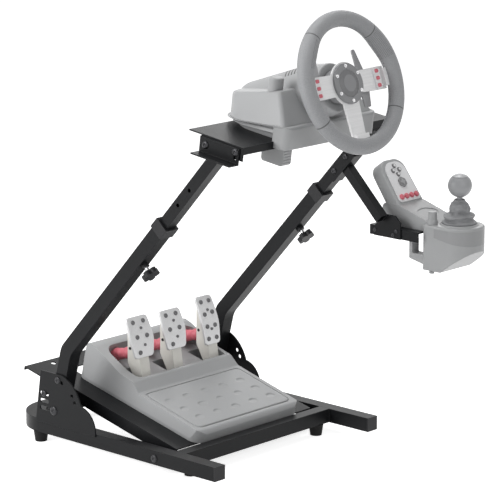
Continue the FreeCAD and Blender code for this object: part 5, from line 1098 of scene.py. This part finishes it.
class WHEELSTAND_OT_foot_mat(Operator):
    """Grip mat of the foot rest, with rows of half-moon dents"""
    bl_idname = "wheelstand.foot_mat"
    bl_label = "Foot mat"

    def execute(self, context):
        rest_front = -24.0
        rest_height = 46.0
        rest_lean = 1.848
        rest = axes_at(local(TRAY, 0.0, rest_front, rest_height), TRAY_LEAN + rest_lean)
        middle_x = 4.0
        middle_s = 97.0
        half_x = 141.0
        half_s = 80.0
        corner = 13.0
        rolled = 3.0
        top = 1.0
        edge = -1.7
        bottom = -1.9
        # Dents: five columns and three rows, each row a little aside of the last
        columns = 5
        pitch_x = 54.0
        pitch_s = 40.0
        skew = 0.1
        dent_front = 5.6
        dent_half_x = 11.5
        dent_half_s = 9.0
        dent_wall = 0.2
        dent_depth = 2.2
        run_s = np.linspace(-half_s, half_s, 134)[:, None]
        run_x = np.linspace(-half_x, half_x, 141)[None, :]
        # Corner squares become quarter discs: the longer share of the way out becomes the radius
        over_x = np.sign(run_x) * np.maximum(np.abs(run_x) - half_x + corner, 0.0)
        over_s = np.sign(run_s) * np.maximum(np.abs(run_s) - half_s + corner, 0.0)
        far = np.maximum(np.abs(over_x), np.abs(over_s))
        shrink = far / np.maximum(np.hypot(over_x, over_s), 1e-9)
        at_corner = (over_x != 0) & (over_s != 0)
        plan_x = run_x - np.where(at_corner, over_x * (1 - shrink), 0.0)
        plan_s = run_s - np.where(at_corner, over_s * (1 - shrink), 0.0)
        # Height: a rolled edge up to a flat top, less a dent that is deepest along its rear arc
        inset = np.minimum(half_x - np.abs(run_x), half_s - np.abs(run_s))
        roll = np.sqrt(1 - (1 - np.clip(inset / rolled, 0, 1)) ** 2)
        rise = edge + (top - edge) * roll
        for row in (-1, 0, 1):
            for column in range(columns):
                way_x = (plan_x - (column - (columns - 1) / 2 - skew * row) * pitch_x) / dent_half_x
                way_s = (plan_s + dent_front - row * pitch_s) / dent_half_s
                wall = np.clip((1 - np.hypot(way_x, way_s)) / dent_wall, 0, 1)
                wall = wall * wall * (3 - 2 * wall)
                rise = rise - dent_depth * wall * (0.5 + 0.5 * np.clip(way_s, -1, 1))
        upper = local(rest, middle_x + plan_x, middle_s + plan_s, rise)
        under = np.full_like(rise, bottom)
        under[[0, -1]] = rise[[0, -1]]
        lower = local(rest, middle_x + plan_x, middle_s + plan_s, under)
        points = np.concatenate([upper, lower[:, ::-1]], 1)
        piece = grid_piece("foot_mat", place(points), bpy.data.materials["housing_grey"], "tray")
        return {"FINISHED"}


class WHEELSTAND_OT_shifter_trim(Operator):
    """Button rings and caps of the console and the plate in the top of the lever's knob"""
    bl_idname = "wheelstand.shifter_trim"
    bl_label = "Shifter trim"

    def execute(self, context):
        _, right, up, out = CONSOLE
        dark = bpy.data.materials["button_grey"]
        frames = [[right, up, out]]

        # Rings and pale tops of the four upper buttons, in a diamond
        panel_face = 2.0
        button_top = 5.0
        diamond_v = 76.0
        diamond_r = 10.0
        hole_r = 4.3
        ring_r = 5.5
        diamond = np.array([(0, 1), (0, -1), (1, 0), (-1, 0)]) * diamond_r + (0.0, diamond_v)
        rows = [
            (hole_r, 0, 0), (hole_r, 0.7, 0), (4.6, 1.0, 0), (5.1, 1.0, 0), (5.4, 0.6, 0), (ring_r, 0, 0),
            (hole_r, 0, 0)]
        spots = local(CONSOLE, diamond[:, 0], diamond[:, 1], panel_face)
        piece = pattern_piece("button_rings", lathe_form(rows, 32), spots, frames * 4, dark, "risers")
        pale = bpy.data.materials["panel_white"]
        spots = local(CONSOLE, diamond[:, 0], diamond[:, 1], button_top)
        top = pad_form(half_x=3.1, half_y=3.1, rise=0.7, power=1.0)
        piece = pattern_piece("button_tops", top, spots, frames * 4, pale, "risers")

        # Rocking cross on the six-sided pad: four lobes round a circle
        pad_v = 47.0
        cross_r = 5.6
        lobe = 0.26
        cross_rise = 1.6
        turn = np.linspace(0, TURN, 48, endpoint=False)[None, :]
        climb = np.linspace(0, math.pi / 2, 9)[:, None]
        plan = cross_r * (1 + lobe * np.cos(4 * turn)) * np.cos(climb) ** 0.5
        lift = cross_rise * np.sin(climb) ** 0.5 + 0 * turn
        cross = np.stack([plan * np.cos(turn), plan * np.sin(turn), lift], -1)
        cross = np.concatenate([np.zeros((1, 48, 3)), cross])
        tone = surface(
            "pad_grey", "moulded_grain", (0.36, 0.36, 0.37), roughness=0.45, bump=0.00002, edge=0.0)
        spots = [local(CONSOLE, 0.0, pad_v, button_top)]
        piece = pattern_piece("pad_cross", cross, spots, frames, tone, "risers")

        # Domed caps on the red buttons
        red_count = 4
        red_pitch = 15.5
        red_v = 15.0
        red_x = (np.arange(red_count) - (red_count - 1) / 2) * red_pitch
        spots = local(CONSOLE, red_x, red_v, button_top)
        cap = pad_form(half_x=5.7, half_y=5.7, rise=1.6, power=1.0)
        piece = pattern_piece(
            "red_caps", cap, spots, frames * red_count, bpy.data.materials["cap_red"], "risers")

        # Plate in the top of the knob: a shallow dome over the groove's circle, just proud of the ball
        knob_r = 25.0
        groove_height = 18.6
        proud = 0.15
        back = 18.0
        rise = np.linspace(0.06, 1, 16)
        polar = math.acos(groove_height / knob_r) * (1 - rise)
        rows = np.stack([(knob_r + proud) * np.sin(polar), (knob_r + proud) * np.cos(polar), 0 * rise], -1)
        rows = np.concatenate([[(0, back, 0)], [(rows[0, 0] - 0.4, back + 0.2, 0)], rows])
        plate = surface(
            "knob_plate", "brushed_lines", (0.45, 0.455, 0.465), roughness=0.35, bump=0.00001, edge=0.0,
            metallic=0.2)
        piece = pattern_piece("knob_plate", lathe_form(rows, 48), [LEVER_AT], [np.eye(3)], plate, "lever")
        return {"FINISHED"}


class WHEELSTAND_OT_lever_boot(Operator):
    """Soft folded boot between the shifter's deck and the lever"""
    bl_idname = "wheelstand.lever_boot"
    bl_label = "Lever boot"

    def execute(self, context):
        sizes = context.scene.stand_boot
        low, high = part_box("lever_boot")
        middle = (np.array(low) + np.array(high)) / 2
        soft = surface(
            "boot_cover", "leather_grain", (0.27, 0.274, 0.283), roughness=0.62, bump=0.00014, edge=0.0,
            pebble_scale=520.0, crease=0.18)
        base_r = (high[0] - low[0]) / 2
        # Heights as shares of the boot's, and the radius there as a share of the foot's
        knots = np.array([0.0, 0.09, 0.2, 0.34, 0.46, 0.62, 0.8, 0.94, 1.0])
        shares = np.array([0.97, 1.0, 0.80, 0.90, 0.55, 0.61, 0.52, 0.34, 0.3])
        pieces = []
        split = 0.5
        wall = 0.0012
        skirt_share = 0.09
        skirt_at = 0.3
        skirt_spread = 0.12
        for name, start, end in (("boot_lower", 0.0, split), ("boot_upper", split, 1.0)):
            rise = np.linspace(start, end, 41)[:, None]
            turn = np.linspace(0, TURN, 96, endpoint=False)[None, :]
            # Radius: shares of the foot's radius, eased from knot to knot, with slanting creases
            step = np.clip(np.searchsorted(knots, rise, "right") - 1, 0, len(knots) - 2)
            way = (rise - knots[step]) / (knots[step + 1] - knots[step])
            way = way * way * (3 - 2 * way)
            share = shares[step] + (shares[step + 1] - shares[step]) * way
            fade = np.sin(math.pi * rise) ** 0.7
            crease = np.sin(5 * turn + 9 * rise) + 0.7 * np.sin(9 * turn - 14 * rise + 1.0)
            # The skirt hangs in two lobes that wind a little with the height
            skirt = skirt_share * np.exp(-((rise - skirt_at) / skirt_spread) ** 2)
            skirt = skirt * np.sin(2 * turn + 0.6 + 3 * rise)
            radius = base_r * (share + skirt) + sizes.wrinkle * fade * crease
            sag = 1.8 * sizes.wrinkle * fade * np.sin(3 * turn + 2.0)
            height = low[2] + (high[2] - low[2]) * rise + sag
            # The outside goes up and the inside, a wall's thickness nearer the lever, comes back down
            radius = np.concatenate([radius, (radius - wall)[::-1]])
            height = np.concatenate([height, height[::-1]])
            points = np.stack(
                [middle[0] + radius * np.cos(turn), middle[1] + radius * np.sin(turn), height], -1)
            pieces.append(grid_piece(name, points, soft, wrap_rows=True))
        lower, upper = pieces
        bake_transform(lower)
        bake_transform(upper)
        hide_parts("lever_boot")
        return {"FINISHED"}


def shown_rays(tree):
    """One where a ray comes from the camera, a reflection or a see-through surface."""
    path = add(tree, "ShaderNodeLightPath")
    seen = sum_of(tree, "MAXIMUM", path.outputs["Is Camera Ray"], path.outputs["Is Glossy Ray"])
    return sum_of(tree, "MAXIMUM", seen, path.outputs["Is Transmission Ray"])


class WHEELSTAND_OT_stage(Operator):
    """Pale floor, soft light and the camera"""
    bl_idname = "wheelstand.stage"
    bl_label = "Stage"

    def execute(self, context):
        scene = context.scene
        scene.view_settings.view_transform = "Standard"
        pale = tuple(scene.stand_finish.backdrop)
        floor_material = bpy.data.materials.new("floor_pale")
        floor_material.use_nodes = True
        tree = floor_material.node_tree
        shader = tree.nodes["Principled BSDF"]
        shader.inputs["Base Color"].default_value = (*pale, 1.0)
        shader.inputs["Roughness"].default_value = 0.9
        shader.inputs["Specular IOR Level"].default_value = 0.0
        shader.inputs["Emission Color"].default_value = (1, 1, 1, 1)
        floor_glow = 0.78
        glow = sum_of(tree, "MULTIPLY", shown_rays(tree), floor_glow)
        tree.links.new(glow, shader.inputs["Emission Strength"])
        mesh = bpy.data.meshes.new("floor")
        reach = 6.0
        mesh.from_pydata([(-reach, -reach, 0), (reach, -reach, 0), (reach, reach, 0), (-reach, reach, 0)], [],
                         [(0, 1, 2, 3)])
        mesh.materials.append(floor_material)
        floor = bpy.data.objects.new("floor", mesh)
        scene.collection.objects.link(floor)

        world = bpy.data.worlds.new("studio")
        world.use_nodes = True
        scene.world = world
        sky = world.node_tree
        fill = sky.nodes["Background"]
        fill.inputs["Color"].default_value = (1, 1, 1, 1)
        level = add(sky, "ShaderNodeMapRange")
        level.inputs["To Min"].default_value = 0.3
        level.inputs["To Max"].default_value = 1.0
        sky.links.new(shown_rays(sky), level.inputs["Value"])
        sky.links.new(level.outputs["Result"], fill.inputs["Strength"])

        middle = np.array([0.0, 0.0, 0.5])
        lamps = (("left_key", (-3.0, 1.5, 1.9), 2.4, 95.0), ("front_fill", (-0.8, -3.0, 1.8), 1.8, 24.0),
                 ("top", (0.2, 0.3, 3.2), 2.0, 38.0), ("right_back", (2.6, 1.6, 1.8), 1.6, 12.0))
        for name, spot, width, power in lamps:
            data = bpy.data.lights.new(name, "AREA")
            data.size = width
            data.energy = power
            lamp = bpy.data.objects.new(name, data)
            lamp.location = spot
            aim = middle - np.array(spot)
            yaw = math.atan2(aim[0], aim[1])
            fall = math.atan2(-aim[2], math.hypot(aim[0], aim[1]))
            lamp.rotation_euler = (math.pi / 2 - fall, 0, -yaw)
            scene.collection.objects.link(lamp)

        data = bpy.data.cameras.new("photo_camera")
        data.sensor_width = 36.0
        data.lens = 200.0
        data.clip_end = 50.0
        camera = bpy.data.objects.new("photo_camera", data)
        camera_at = (-4083.7, -3651.2, 1728.2)
        camera_fall = 13.07
        camera_turn = 47.18
        camera.location = place(camera_at)
        camera.rotation_euler = (math.radians(90 - camera_fall), 0, math.radians(-camera_turn))
        scene.collection.objects.link(camera)
        scene.camera = camera
        return {"FINISHED"}


class WHEELSTAND_PT_panel(Panel):
    """Lists the dressing steps"""
    bl_idname = "WHEELSTAND_PT_panel"
    bl_label = "Wheel stand"
    bl_space_type = "VIEW_3D"
    bl_region_type = "UI"
    bl_category = "Wheel stand"

    def draw(self, context):
        for step in STEPS:
            self.layout.operator(step.bl_idname)


SETTINGS = {
    "stand_finish": FinishSettings,
    "stand_wheel": WheelSettings,
    "stand_fasteners": FastenerSettings,
    "stand_boot": BootSettings,
}
STEPS = (
    WHEELSTAND_OT_frame_finish,
    WHEELSTAND_OT_controller_finish,
    WHEELSTAND_OT_frame_bolts,
    WHEELSTAND_OT_welds,
    WHEELSTAND_OT_rim_cover,
    WHEELSTAND_OT_wheel_trim,
    WHEELSTAND_OT_base_trim,
    WHEELSTAND_OT_pedal_trim,
    WHEELSTAND_OT_foot_mat,
    WHEELSTAND_OT_shifter_trim,
    WHEELSTAND_OT_lever_boot,
    WHEELSTAND_OT_stage,
)


def register():
    for settings in SETTINGS.values():
        bpy.utils.register_class(settings)
    for step in STEPS:
        bpy.utils.register_class(step)
    bpy.utils.register_class(WHEELSTAND_PT_panel)
    for name, settings in SETTINGS.items():
        setattr(bpy.types.Scene, name, PointerProperty(type=settings))


def unregister():
    for name in SETTINGS:
        delattr(bpy.types.Scene, name)
    bpy.utils.unregister_class(WHEELSTAND_PT_panel)
    for step in reversed(STEPS):
        bpy.utils.unregister_class(step)
    for settings in reversed(SETTINGS.values()):
        bpy.utils.unregister_class(settings)


def main():
    """Runs every step in order."""
    register()
    bpy.ops.wheelstand.frame_finish()
    bpy.ops.wheelstand.controller_finish()
    bpy.ops.wheelstand.frame_bolts()
    bpy.ops.wheelstand.welds()
    bpy.ops.wheelstand.rim_cover()
    bpy.ops.wheelstand.wheel_trim()
    bpy.ops.wheelstand.base_trim()
    bpy.ops.wheelstand.pedal_trim()
    bpy.ops.wheelstand.foot_mat()
    bpy.ops.wheelstand.shifter_trim()
    bpy.ops.wheelstand.lever_boot()
    bpy.ops.wheelstand.stage()


if __name__ == "__main__":
    main()
